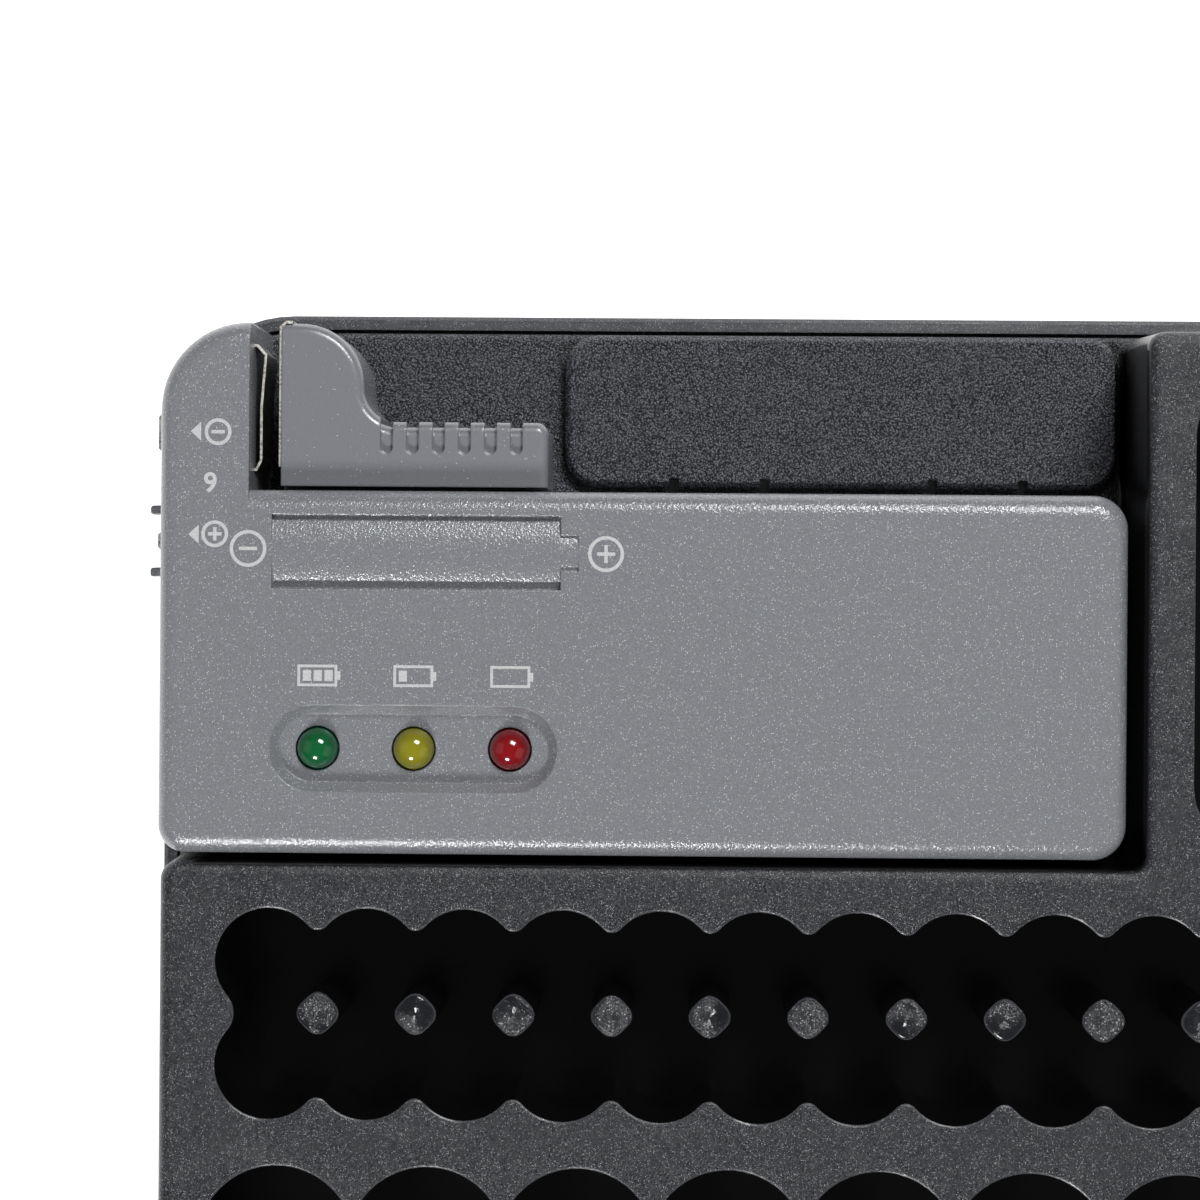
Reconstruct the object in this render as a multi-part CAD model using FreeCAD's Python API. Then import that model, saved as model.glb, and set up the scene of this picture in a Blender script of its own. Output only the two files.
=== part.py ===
"""Battery storage tray with a lift-out battery tester.  Millimetres, +Z up.

The origin is the middle of the tray's base.  +X runs to the right along the battery rows and
+Y to the back, where the tester lies in a corner recess that is open to the back and the left.
"""

import FreeCAD, Part
import math
import os
from collections import namedtuple
from FreeCAD import Vector

# ---------------------------------------------------------------- driving sizes: shared fits
seat_gap = 0.03             # between a seated piece and what holds it

# ---------------------------------------------------------------- driving sizes: battery wells
aaa_columns = 15
aaa_cell = 10.5             # battery diameter
aaa_clearance = 0.95        # radial room round the battery at the mouth of its well
aaa_merge = 0.55            # how far each lobe runs into the next one, at their shared axis
aa_columns = 10
aa_cell = 14.5
aa_clearance = 1.9
aa_merge = 0.485
c_columns = 6
c_cell = 26.2
c_clearance = 1.5
c_merge = 0.15
d_columns = 5
d_cell = 34.2
d_clearance = 0.65
d_merge = 0.35
line_extra = 0.66           # two lines of one row stand this much further apart than the pitch
cusp_radius = 1.4           # rounding of the points between neighbouring lobes
end_cusp_radius = 3.0       # rounding of the point between the two lines at a row's ends
post_drop = 0.7             # posts end this much below the deck
post_half = 2.4             # from a post's middle to its four blunt corners
well_depth = 22.0
row_land = 5.3              # deck left between two rows

# ---------------------------------------------------------------- driving sizes: tray moulding
deck_top = 28.5
deck_wall = 2.0
skirt_wall = 2.0
well_wall = 1.3
deck_corner = 12.5
deck_edge = 1.5             # rounding of the deck's outer edge
side_margin = 4.4           # deck left beside the widest row
front_margin = 6.5
skirt_flare = 1.0           # the skirt leans out this much from deck to table
flange_reach = 2.1          # flange beyond the foot of the skirt
flange_height = 2.0
flange_edge = 0.5
groove_width = 0.45         # shadow groove between skirt and flange
groove_depth = 0.9

# ---------------------------------------------------------------- driving sizes: tester recess
recess_floor = 4.0          # height of the floor that the tester stands on
recess_floor_wall = 2.0
recess_corner = 1.5
recess_mouth = 2.2          # rounding of the wall's free upright edge at the back
floor_edge = 0.8
pad_height = 2.2            # raised pad behind the tester's long body
pad_start = 45.7            # from the deck's left edge
pad_end_gap = 0.8           # between the pad and the recess's right wall
pad_corner = 4.0
pad_edge = 0.6
pad_tester_gap = 1.3
pad_overrun = 0.7           # the pad runs this far past the deck's back edge, down to the flange
catch_width = 9.7           # two springy catches cut in the floor under the tester
catch_length = 17.0
catch_slit = 1.2
catch_first = 64.7          # from the tester's left side
catch_spacing = 31.1
catch_root_inset = 1.0      # from the pad's front edge to the catches' roots
barb_height = 1.2
barb_length = 1.8
barb_inset = 0.6            # from a catch's tip to its barb
barb_room = 0.6             # kept free round a barb in the tester's floor
floor_rib = 1.2
rib_shares = (0.2, 0.4)     # places of the ribs that run front to back, along the recess
cross_rib_share = 0.8       # place of the rib that runs from side to side

# ---------------------------------------------------------------- driving sizes: 9 V compartment
pocket_wall_gap = 5.6       # between the recess's right wall and the compartment
pocket_back_margin = 4.6
pocket_side_margin = 5.0
pocket_length = 55.0
pocket_corner = 7.5
pocket_columns = 3
nib_radius = 1.2

# ---------------------------------------------------------------- driving sizes: tester housing
tester_length = 111.6
tester_height = 25.0
body_depth = 41.95          # front-to-back size of the long body
bay_depth = 19.35           # front-to-back size of the battery bay behind the body
arm_width = 10.4
tester_left_gap = -0.4      # from the deck's left edge to the tester, which overhangs it
tester_back_overhang = 0.5
tester_right_gap = 1.95
tester_front_gap = 0.9
shell_wall = 1.8
shell_split = 12.0          # height of the lower shell
lip_height = 1.4
lip_gap = 0.1
arm_tip_flat = 0.3          # straight end of the arm, between its big corner and the bay
body_corner = 4.0
front_left_corner = 3.2
bay_corner = 0.6
shell_top_edge = 2.4
shell_bottom_edge = 1.2

# ---------------------------------------------------------------- driving sizes: tester face
relief_left = 13.1          # battery-shaped relief, from the tester's left side
relief_back = 22.2          # from the arm's back end
relief_length = 33.3
relief_width = 8.5
relief_depth = 1.1          # depth of the relief's two long sides
nub_length = 2.05
nub_width = 4.1
nub_depth = 0.45
panel_left = 12.95
panel_front = 7.2           # from the tester's front to the lamp panel
panel_length = 33.2
panel_width = 10.0
panel_slope = 1.05
panel_depth = 1.5
face_backing = 1.6          # extra wall under the relief and the lamp panel

# ---------------------------------------------------------------- driving sizes: sliding jaw
jaw_rest_gap = 3.4          # from the arm's bay side to the jaw's pressing face, at rest
jaw_length = 30.95
jaw_drop = 3.0              # the jaw's top lies this much below the tester's face
jaw_height = 18.0
jaw_bar_depth = 7.55
jaw_gap = 0.5               # between the jaw and the long body
jaw_head_flat = 2.2
jaw_head_radius = 7.4
jaw_neck_radius = 3.75
jaw_end_corner = 1.4
jaw_face_bevel = 0.5
jaw_edge = 1.2
grip_count = 6
grip_pitch = 3.01
grip_first = 12.2           # from the jaw's pressing face
grip_width = 1.44
grip_length = 3.7
grip_depth = 0.6
jaw_travel = 62.0

# ---------------------------------------------------------------- driving sizes: guide and spring
slot_height = 4.4
slot_gap = 0.2              # running gap all round the jaw's tongue
slot_rise = 1.5             # the slot's middle lies this much above the shells' seam
tongue_length = 24.0
shoe_height = 9.0
shoe_thickness = 2.0
shoe_gap = 0.25             # running gap between shoe and guide ribs
guide_thickness = 1.5
lug_width = 2.5
lug_depth = 2.6
spring_radius = 2.1         # outside
spring_wire = 0.3           # wire radius
spring_turns = 13
spring_gap = 0.25
anchor_radius = 1.5
anchor_from_left = 4.6
screw_radius = 0.8
screw_clearance = 0.1
screw_bite = 5.0            # thread length of a board screw in its pillar
shoe_screw_bite = 4.0
shoe_screw_shares = (0.3, 0.7)
hole_room = 0.5             # screw holes run this much deeper than the screws
head_radius = 1.5
head_height = 1.0

# ---------------------------------------------------------------- driving sizes: contacts
sheet = 0.3                 # thickness of the contact strip
jaw_contact_top = 0.4       # the jaw contact ends this much below the jaw's top
jaw_contact_bottom = 6.5    # and this much below the slot's middle
jaw_contact_front = 2.2     # and this much behind the long body's side of the jaw
leaf_height = 12.0
tail_height = 2.6
tail_foot = 3.0             # the jaw contact's tail runs this far along the shoe
wiper_gap = 0.2             # between that tail and the wiper
wiper_margin = 3.2          # wiper beyond the outer shoe screw
wiper_run = 2.0             # length and depth of the wiper's bend
wiper_drop = 1.2
wiper_blade = 7.5           # from the bend back to the rubbing tip
wiper_tip = 2.5
rail_height = 8.0
rail_back = 28.0            # from the arm's back end
rail_hold = 3.0             # length of each of the posts that hold the rail
rail_post_half = 0.9        # half the posts' thickness
rail_post_drop = 0.5        # the posts end this much below the shells' seam
rail_drop = 0.5             # the rail's lower edge lies this much below the shoe's
rail_overrun = 0.4          # the rail runs this far past its end posts
rail_end_gap = 0.1
rail_from_arm = 3.0         # from the arm's bay side to the first post
rail_from_right = 3.3       # from the last post to the tester's right side
stud_spacing = 12.7         # between the two snap studs of a 9 V battery
minus_stud_back = 12.5
minus_contact_width = 6.2
plus_contact_width = 2.4
stud_contact_height = 7.0
stud_contact_reach = 1.3
stud_foot = 1.2             # how far a 9 V contact's feet reach inside the wall
leaf_inset = 2.3            # from the arm's back end to the leaf
leaf_bow = 1.45             # how far the leaf stands out of the arm
leaf_bend = 1.2             # length of the bends at the leaf's two ends
leaf_grip = 0.5             # how far the leaf's ends reach inside the arm's wall
hook_length = 1.2           # jaw contact's hook over the head's back corner
key_spacing = 7.35          # the two key ribs either side of the plus contact
key_thickness = 1.25
key_tip = 1.05              # thickness at the rib's outer end
key_tip_corner = 0.35
key_reach = 2.65
key_height = 3.2

# ---------------------------------------------------------------- driving sizes: board and lamps
lamp_radius = 2.43
lamp_flange_radius = 2.9
lamp_flange_height = 1.0
lamp_height = 8.6
lamp_hole_gap = 0.12
lamp_pitch = 11.1
lamp_rise = 0.4             # tip of the lamp's dome above the tester's face
lead_radius = 0.25
lead_length = 3.2
lead_pitch = 2.54
lead_gap = 0.1              # round a lead in its hole
chip_length = 9.6
chip_width = 6.4
chip_height = 3.8
chip_rise = 0.5
chip_legs = 4               # on each side
load_length = 11.0
load_radius = 2.0
resistor_length = 6.3
resistor_radius = 1.1
board_left = 10.0
board_back = 33.2
board_length = 44.0
board_front_margin = 4.1    # between the board and the tester's front
board_thickness = 1.6
board_corner = 1.5
pillar_radius = 2.6
boss_radius = 3.1
boss_inset = 6.5            # from the tester's outside to the middle of a corner boss
back_boss_inset = 14.4      # from the body's back wall, clear of the slide
case_screw_radius = 1.1
case_head_radius = 2.2
case_head_height = 1.6
case_head_sink = 0.4        # the heads lie this much inside the floor
case_head_room = 0.2
case_screw_length = 18.0
wire_radius = 0.45
wire_bend = 1.6
wire_sides = 6
wire_room = 0.2             # kept free round the board for the wires
board_screw_inset = 3.6     # from the board's edge to the middle of its screws
part_room = 1.0             # between neighbouring pieces on the board
overlap = 0.1               # pieces of one moulding run this far into each other before they are joined
past = 1.0                  # cutters run this far past the faces that they open

# ---------------------------------------------------------------- sizes that follow
Row = namedtuple("Row", "name columns lines pitch spacing radius centre_y")


def row_size(cell, clearance, merge):
    """Lobe radius at the mouth, and pitch, of a row of wells for one battery size."""
    radius = cell / 2 + clearance
    return radius, 2 * (radius - merge)


aaa_radius, aaa_pitch = row_size(aaa_cell, aaa_clearance, aaa_merge)
aa_radius, aa_pitch = row_size(aa_cell, aa_clearance, aa_merge)
c_radius, c_pitch = row_size(c_cell, c_clearance, c_merge)
d_radius, d_pitch = row_size(d_cell, d_clearance, d_merge)
aaa_spacing = aaa_pitch + line_extra
aa_spacing = aa_pitch + line_extra

tester_depth = bay_depth + body_depth
arm_corner = arm_width - arm_tip_flat
jaw_left = arm_width + jaw_rest_gap
panel_back = tester_depth - panel_front - panel_width
board_width = tester_depth - board_back - board_front_margin
recess_width = tester_left_gap + tester_length + tester_right_gap
recess_depth = tester_depth - tester_back_overhang + tester_front_gap

aaa_front = recess_depth + row_land + 2 * aaa_radius + aaa_spacing
aa_front = aaa_front + row_land + 2 * aa_radius + aa_spacing
c_front = aa_front + row_land + 2 * c_radius
d_front = c_front + row_land + 2 * d_radius
deck_depth = d_front + front_margin
row_widths = [
    (aaa_columns - 1) * aaa_pitch + 2 * aaa_radius,
    (aa_columns - 1) * aa_pitch + 2 * aa_radius,
    (c_columns - 1) * c_pitch + 2 * c_radius,
    (d_columns - 1) * d_pitch + 2 * d_radius,
]
deck_width = max(row_widths) + 2 * side_margin
deck_left = -deck_width / 2
deck_back = deck_depth / 2
well_floor = deck_top - well_depth

rows = [
    Row("aaa", aaa_columns, 2, aaa_pitch, aaa_spacing, aaa_radius,
        deck_back - aaa_front + aaa_radius + aaa_spacing / 2),
    Row("aa", aa_columns, 2, aa_pitch, aa_spacing, aa_radius,
        deck_back - aa_front + aa_radius + aa_spacing / 2),
    Row("c", c_columns, 1, c_pitch, 0.0, c_radius, deck_back - c_front + c_radius),
    Row("d", d_columns, 1, d_pitch, 0.0, d_radius, deck_back - d_front + d_radius),
]

tester_x = deck_left + tester_left_gap
tester_y = deck_back + tester_back_overhang
tester_z = recess_floor
face_z = tester_z + tester_height
split_z = tester_z + shell_split
floor_z = tester_z + shell_wall            # inside floor of the lower shell
roof_z = face_z - shell_wall               # inside roof of the upper shell

jaw_top = face_z - jaw_drop
jaw_bottom = jaw_top - jaw_height
jaw_front = -(bay_depth - jaw_gap)
slot_z = split_z + slot_rise               # middle height of the slot, tongue and shoe
tongue_height = slot_height - 2 * slot_gap
wall_inside = -(bay_depth + shell_wall)    # inner face of the body's back wall
shoe_back = wall_inside - slot_gap
shoe_front = shoe_back - shoe_thickness
shoe_right = jaw_left + tongue_length
spring_y = shoe_front - lug_depth / 2 - sheet
spring_z = floor_z + spring_radius + spring_gap
pad_front = tester_y - bay_depth + pad_tester_gap
catch_root = pad_front + catch_root_inset
catch_end = catch_root - catch_length
catches_at = [tester_x + catch_first + i * catch_spacing for i in (0, 1)]
board_top = face_z + lamp_rise - lamp_height
board_bottom = board_top - board_thickness
lamp_y = -(panel_back + panel_width / 2)
lamp_xs = [panel_left + panel_length / 2 + i * lamp_pitch for i in (-1, 0, 1)]


# ---------------------------------------------------------------- shared construction
def arc(centre, radius, start, end):
    """Arc edge in the XY plane from angle start to angle end, in degrees."""
    points = []
    for angle in (start, (start + end) / 2, end):
        turn = math.radians(angle)
        points.append(centre + Vector(radius * math.cos(turn), radius * math.sin(turn), 0))
    return Part.Arc(*points).toShape()


def outline(corners):
    """Closed wire through (x, y, radius) corners, each rounded by a tangent arc."""
    points = [Vector(x, y, 0) for x, y, _ in corners]
    starts, middles, ends = [], [], []
    for i, (_, _, radius) in enumerate(corners):
        here = points[i]
        back = (points[i - 1] - here).normalize()
        ahead = (points[(i + 1) % len(points)] - here).normalize()
        half = back.getAngle(ahead) / 2
        starts.append(here + back * (radius / math.tan(half)))
        ends.append(here + ahead * (radius / math.tan(half)))
        towards = (back + ahead).normalize()
        middles.append(here + towards * (radius / math.sin(half) - radius))
    edges = []
    for i, (_, _, radius) in enumerate(corners):
        if (starts[i] - ends[i - 1]).Length > 1e-6:
            edges.append(Part.LineSegment(ends[i - 1], starts[i]).toShape())
        if radius > 0:
            edges.append(Part.Arc(starts[i], middles[i], ends[i]).toShape())
    return Part.Wire(edges)


def rectangle(x0, x1, y0, y1, radius=0.0):
    return outline([(x0, y0, radius), (x1, y0, radius), (x1, y1, radius), (x0, y1, radius)])


def prism(wire, z0, z1):
    solid = Part.Face(wire).extrude(Vector(0, 0, z1 - z0))
    solid.translate(Vector(0, 0, z0))
    return solid


def level(wire, z):
    lifted = wire.copy()
    lifted.translate(Vector(0, 0, z))
    return lifted


def taper(*stages):
    """Solid with straight flanks through (wire, z) stages that have matching edges."""
    return Part.makeLoft([level(wire, z) for wire, z in stages], True, True)


def block(x0, x1, y0, y1, z0, z1):
    corner = Vector(min(x0, x1), min(y0, y1), min(z0, z1))
    return Part.makeBox(abs(x1 - x0), abs(y1 - y0), abs(z1 - z0), corner)


def upright(x, y, z0, z1, radius):
    return Part.makeCylinder(radius, z1 - z0, Vector(x, y, z0))


def fuse(shapes):
    whole = shapes[0]
    if len(shapes) > 1:
        whole = whole.fuse(shapes[1:])
    return whole.removeSplitter()


def edges_at(shape, z, keep=lambda box: True):
    """Edges that lie wholly at one height and whose bounding box passes keep."""
    return [
        edge for edge in shape.Edges
        if abs(edge.BoundBox.ZMin - z) < 1e-4 and abs(edge.BoundBox.ZMax - z) < 1e-4
        and keep(edge.BoundBox)
    ]


def strip(points, z0, z1, thickness=sheet):
    """Bent strip of sheet metal: a path in plan, its thickness to the right of the path."""
    path = Part.makePolygon([Vector(x, y, 0) for x, y in points])
    face = path.makeOffset2D(thickness, 2, True, True, False)
    solid = face.extrude(Vector(0, 0, z1 - z0))
    solid.translate(Vector(0, 0, z0))
    return solid


def seat(shape):
    """Move a tester piece from the tester's own frame, at its back left corner, to its place."""
    shape.translate(Vector(tester_x, tester_y, 0))
    return shape


# ---------------------------------------------------------------- tray
def scallop(row, grow):
    """Outline of one row's wells at the mouth, offset outwards by grow."""
    radius = row.radius + grow
    cusp = max(cusp_radius - grow, 0.5)
    end_cusp = end_cusp_radius - grow
    rise = math.sqrt((radius + cusp) ** 2 - (row.pitch / 2) ** 2)
    lean = math.degrees(math.atan2(rise, row.pitch / 2))
    xs = [(i - (row.columns - 1) / 2) * row.pitch for i in range(row.columns)]
    half = row.spacing / 2
    dip = 0.0
    if row.lines == 2:
        reach = math.sqrt((radius + end_cusp) ** 2 - half ** 2)
        dip = math.degrees(math.atan2(half, reach))
    edges = []
    for i, x in enumerate(xs):
        start = 180 + dip if i == 0 else 180 - lean
        end = -dip if i == row.columns - 1 else lean
        edges.append(arc(Vector(x, half, 0), radius, start, end))
        if i < row.columns - 1:
            tip = Vector(x + row.pitch / 2, half + rise, 0)
            edges.append(arc(tip, cusp, 180 + lean, 360 - lean))
    if row.lines == 2:
        edges.append(arc(Vector(xs[-1] + reach, 0, 0), end_cusp, 180 - dip, 180 + dip))
    for i, x in reversed(list(enumerate(xs))):
        start = dip if i == row.columns - 1 else -lean
        end = -180 - dip if i == 0 else -180 + lean
        edges.append(arc(Vector(x, -half, 0), radius, start, end))
        if i > 0:
            tip = Vector(x - row.pitch / 2, -half - rise, 0)
            edges.append(arc(tip, cusp, lean, 180 - lean))
    if row.lines == 2:
        edges.append(arc(Vector(xs[0] - reach, 0, 0), end_cusp, -dip, dip))
    wire = Part.Wire(Part.__sortEdges__(edges))
    wire.translate(Vector(0, row.centre_y, 0))
    return wire


def post_outline(row):
    """Outline of a post: four hollow sides that follow the lobes round it, blunt corners."""
    blunt = post_half * row.pitch / aaa_pitch
    half_x, half_y = row.pitch / 2, row.spacing / 2
    side_x = half_x - blunt
    side = math.degrees(math.asin((half_y - blunt) / row.radius))
    flat = math.degrees(math.acos(side_x / row.radius))
    centres = [(half_x, half_y, 180), (-half_x, half_y, 270), (-half_x, -half_y, 0), (half_x, -half_y, 90)]
    edges = []
    for i, (x, y, turn) in enumerate(centres):
        low, high = (flat, side) if i % 2 == 0 else (90 - side, 90 - flat)
        edges.append(arc(Vector(x, y, 0), row.radius, turn + high, turn + low))
    for i, edge in enumerate(list(edges)):
        ahead = edges[(i + 1) % len(centres)]
        edges.append(Part.LineSegment(edge.Vertexes[0].Point, ahead.Vertexes[-1].Point).toShape())
    return Part.Wire(Part.__sortEdges__(edges))


def wells(row):
    """Hollow of one row of wells, with its posts left standing."""
    hollow = prism(scallop(row, 0.0), well_floor, deck_top)
    if row.lines == 2:
        post = prism(post_outline(row), well_floor, deck_top - post_drop)
        posts = []
        for i in range(row.columns - 1):
            copy = post.copy()
            copy.translate(Vector((i - (row.columns - 2) / 2) * row.pitch, row.centre_y, 0))
            posts.append(copy)
        hollow = hollow.cut(Part.makeCompound(posts))
    return hollow


def well_shell(row):
    """Outside of one row of wells, under the deck: cups for the big cells, else one long box."""
    if row.lines == 1:
        wire = scallop(row, well_wall)
    else:
        x = (row.columns - 1) * row.pitch / 2 + row.radius + well_wall
        y = row.spacing / 2 + row.radius + well_wall
        wire = rectangle(-x, x, row.centre_y - y, row.centre_y + y, row.radius + well_wall)
    return prism(wire, well_floor - well_wall, deck_top - deck_wall / 2)


def tray_outline(grow):
    x, y = deck_width / 2 + grow, deck_depth / 2 + grow
    return rectangle(-x, x, -y, y, deck_corner + grow)


def recess_block(grow, z0):
    """Room of the tester's recess above height z0, grown sideways into the tray."""
    right = deck_left + recess_width + grow
    front = deck_back - recess_depth - grow
    beyond = skirt_flare + flange_reach + past
    corners = [
        (deck_left - beyond, front, 0.0),
        (right, front, recess_corner + grow),
        (right, deck_back + beyond, 0.0),
        (deck_left - beyond, deck_back + beyond, 0.0),
    ]
    return prism(outline(corners), z0, deck_top + past)


def tray_skin():
    """Deck, skirt and recess floor as one hollow moulding, before the wells are added."""
    skin = taper((tray_outline(skirt_flare), 0.0), (tray_outline(0.0), deck_top))
    skin = skin.cut(recess_block(0.0, recess_floor))
    right = deck_left + recess_width
    front = deck_back - recess_depth
    mouth = [
        edge for edge in skin.Edges
        if edge.BoundBox.ZLength > deck_top - recess_floor - overlap
        and (abs(edge.BoundBox.XMin - right) < 0.01 and edge.BoundBox.YMax > deck_back - overlap
             or abs(edge.BoundBox.YMin - front) < 0.01 and edge.BoundBox.XMin < deck_left + overlap)
    ]
    skin = skin.makeFillet(recess_mouth, mouth)
    skin = skin.makeFillet(deck_edge, edges_at(skin, deck_top))
    outer = edges_at(skin, recess_floor, lambda box: box.XMin < deck_left or box.YMax > deck_back)
    skin = skin.makeFillet(floor_edge, outer)
    hollow = taper(
        (tray_outline(skirt_flare - skirt_wall), 0.0),
        (tray_outline(-skirt_wall), deck_top - deck_wall),
    )
    hollow = hollow.cut(recess_block(skirt_wall, recess_floor - recess_floor_wall))
    return skin.cut(hollow)


def flange():
    """Flat rim round the foot of the skirt, with a narrow shadow groove beside it."""
    ring = prism(tray_outline(skirt_flare + flange_reach), 0.0, flange_height)
    ring = ring.makeChamfer(flange_edge, edges_at(ring, flange_height))
    ring = ring.cut(prism(tray_outline(skirt_flare - skirt_wall), 0.0, flange_height))
    groove = prism(tray_outline(skirt_flare + groove_width), flange_height - groove_depth, flange_height)
    return ring.cut(groove.cut(prism(tray_outline(skirt_flare), 0.0, flange_height)))


def pad():
    """Low raised pad on the recess floor behind the tester's body, hollow underneath."""
    left = deck_left + pad_start
    right = deck_left + recess_width - pad_end_gap
    back = deck_back + pad_overrun
    top = recess_floor + pad_height
    solid = prism(rectangle(left, right, pad_front, back, pad_corner), recess_floor - recess_floor_wall, top)
    solid = solid.makeChamfer(pad_edge, edges_at(solid, top))
    inset = recess_floor_wall
    inner = rectangle(left + inset, right - inset, pad_front + inset, back - inset, pad_corner - inset / 2)
    return solid, prism(inner, 0.0, top - recess_floor_wall)


def catch_slits(centre):
    """U-shaped cut that frees one springy catch in the recess floor."""
    half = catch_width / 2
    near, far = centre - half, centre + half
    front = catch_end - catch_slit
    return fuse([
        block(near - catch_slit, near, front, catch_root, 0.0, deck_top),
        block(far, far + catch_slit, front, catch_root, 0.0, deck_top),
        block(near - catch_slit, far + catch_slit, front, catch_end, 0.0, deck_top),
    ])


def catch_barb(centre):
    """Small wedge on a catch's tip, which clicks into the tester's lower shell."""
    left, front = centre - catch_width / 4, catch_end + barb_inset
    side = Part.makePolygon([
        Vector(left, front, recess_floor - overlap),
        Vector(left, front, recess_floor + barb_height / 2),
        Vector(left, front + barb_length / 3, recess_floor + barb_height),
        Vector(left, front + barb_length, recess_floor - overlap),
        Vector(left, front, recess_floor - overlap),
    ])
    return Part.Face(side).extrude(Vector(catch_width / 2, 0, 0))


def pocket():
    """Compartment for 9 V batteries beside the recess: its outside and its hollow."""
    left = deck_left + recess_width + pocket_wall_gap
    right = deck_width / 2 - pocket_side_margin
    back = deck_back - pocket_back_margin
    front = back - pocket_length

    def shape(grow):
        return rectangle(left - grow, right + grow, front - grow, back + grow, pocket_corner + grow)

    outside = prism(shape(well_wall), well_floor - well_wall, deck_top - deck_wall / 2)
    hollow = prism(shape(0.0), well_floor, deck_top)
    pitch = (right - left) / pocket_columns
    nibs = []
    for i in range(1, pocket_columns):
        for y in (back, front):
            nibs.append(upright(left + i * pitch, y, well_floor, deck_top - deck_wall / 2, nib_radius))
    return outside, hollow.cut(Part.makeCompound(nibs))


def floor_ribs():
    """Stiffening ribs under the recess floor, from the skirt to the far walls of the recess."""
    left, right = deck_left, deck_left + recess_width
    back, front = deck_back, deck_back - recess_depth
    top = recess_floor - recess_floor_wall + overlap
    cross = back - cross_rib_share * recess_depth
    ribs = [block(left, right, cross, cross + floor_rib, 0.0, top)]
    for share in rib_shares:
        x = left + share * recess_width
        ribs.append(block(x, x + floor_rib, front, back, 0.0, top))
    return ribs


def tray():
    skin = tray_skin()
    raised, under_pad = pad()
    pocket_outside, pocket_hollow = pocket()
    body = fuse([skin, flange(), raised, pocket_outside] + [well_shell(row) for row in rows] + floor_ribs())
    cuts = [under_pad, pocket_hollow] + [wells(row) for row in rows]
    cuts += [catch_slits(x) for x in catches_at]
    body = body.cut(cuts)
    return fuse([body] + [catch_barb(x) for x in catches_at])


# ---------------------------------------------------------------- tester housing
case_screws_at = [
    (board_left - boss_radius - wire_room, -(bay_depth + back_boss_inset)),
    (board_left - boss_radius - wire_room, -(tester_depth - boss_inset)),
    (tester_length - boss_inset, -(tester_depth - boss_inset)),
    (tester_length - boss_inset, -(bay_depth + back_boss_inset)),
]
board_screws_at = [
    (board_left + 2 * board_screw_inset, -(board_back + board_screw_inset)),
    (board_left + board_length - board_screw_inset, -(board_back + board_width - board_screw_inset)),
]
shoe_screws_at = [jaw_left + tongue_length * share for share in shoe_screw_shares]
shoe_bottom = slot_z - shoe_height / 2
shoe_top = slot_z + shoe_height / 2
rail_bottom = shoe_bottom - rail_drop
rail_y = -rail_back - sheet                # middle of the rail's thickness


def housing_outline(inset=0.0):
    """L-shaped plan of the tester: the long body, and the arm that closes the battery bay."""
    wire = outline([
        (0.0, -tester_depth, front_left_corner),
        (tester_length, -tester_depth, body_corner),
        (tester_length, -bay_depth, body_corner),
        (arm_width, -bay_depth, bay_corner),
        (arm_width, 0.0, 0.0),
        (0.0, 0.0, arm_corner),
    ])
    return Part.Face(wire).makeOffset2D(-inset).OuterWire if inset else wire


def housing(z0, z1, eased_z, ease):
    """Body and arm of one shell as a solid, the edges at eased_z eased except towards the bay."""
    body = prism(outline([
        (0.0, -tester_depth, front_left_corner),
        (tester_length, -tester_depth, body_corner),
        (tester_length, -bay_depth, body_corner),
        (0.0, -bay_depth, 0.0),
    ]), z0, z1)
    arm = prism(outline([
        (0.0, -bay_depth - body_depth / 2, 0.0),
        (arm_width, -bay_depth - body_depth / 2, 0.0),
        (arm_width, 0.0, 0.0),
        (0.0, 0.0, arm_corner),
    ]), z0, z1)
    body = ease(body, edges_at(body, eased_z))
    arm_edges = edges_at(arm, eased_z, lambda box: box.XMin < overlap and box.YMax > -bay_depth + overlap)
    return fuse([body, ease(arm, arm_edges)])


def lip_ring(outer_inset, height):
    ring = prism(housing_outline(outer_inset), split_z, split_z + height)
    return ring.cut(prism(housing_outline(shell_wall), split_z, split_z + height))


def jaw_slot():
    """Slot along the body's back wall, through which the jaw's tongue reaches the shoe."""
    return block(jaw_left - sheet - 2 * slot_gap, jaw_left + tongue_length + jaw_travel + 2 * slot_gap,
                 -bay_depth + past, wall_inside - past, slot_z - slot_height / 2, slot_z + slot_height / 2)


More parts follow.
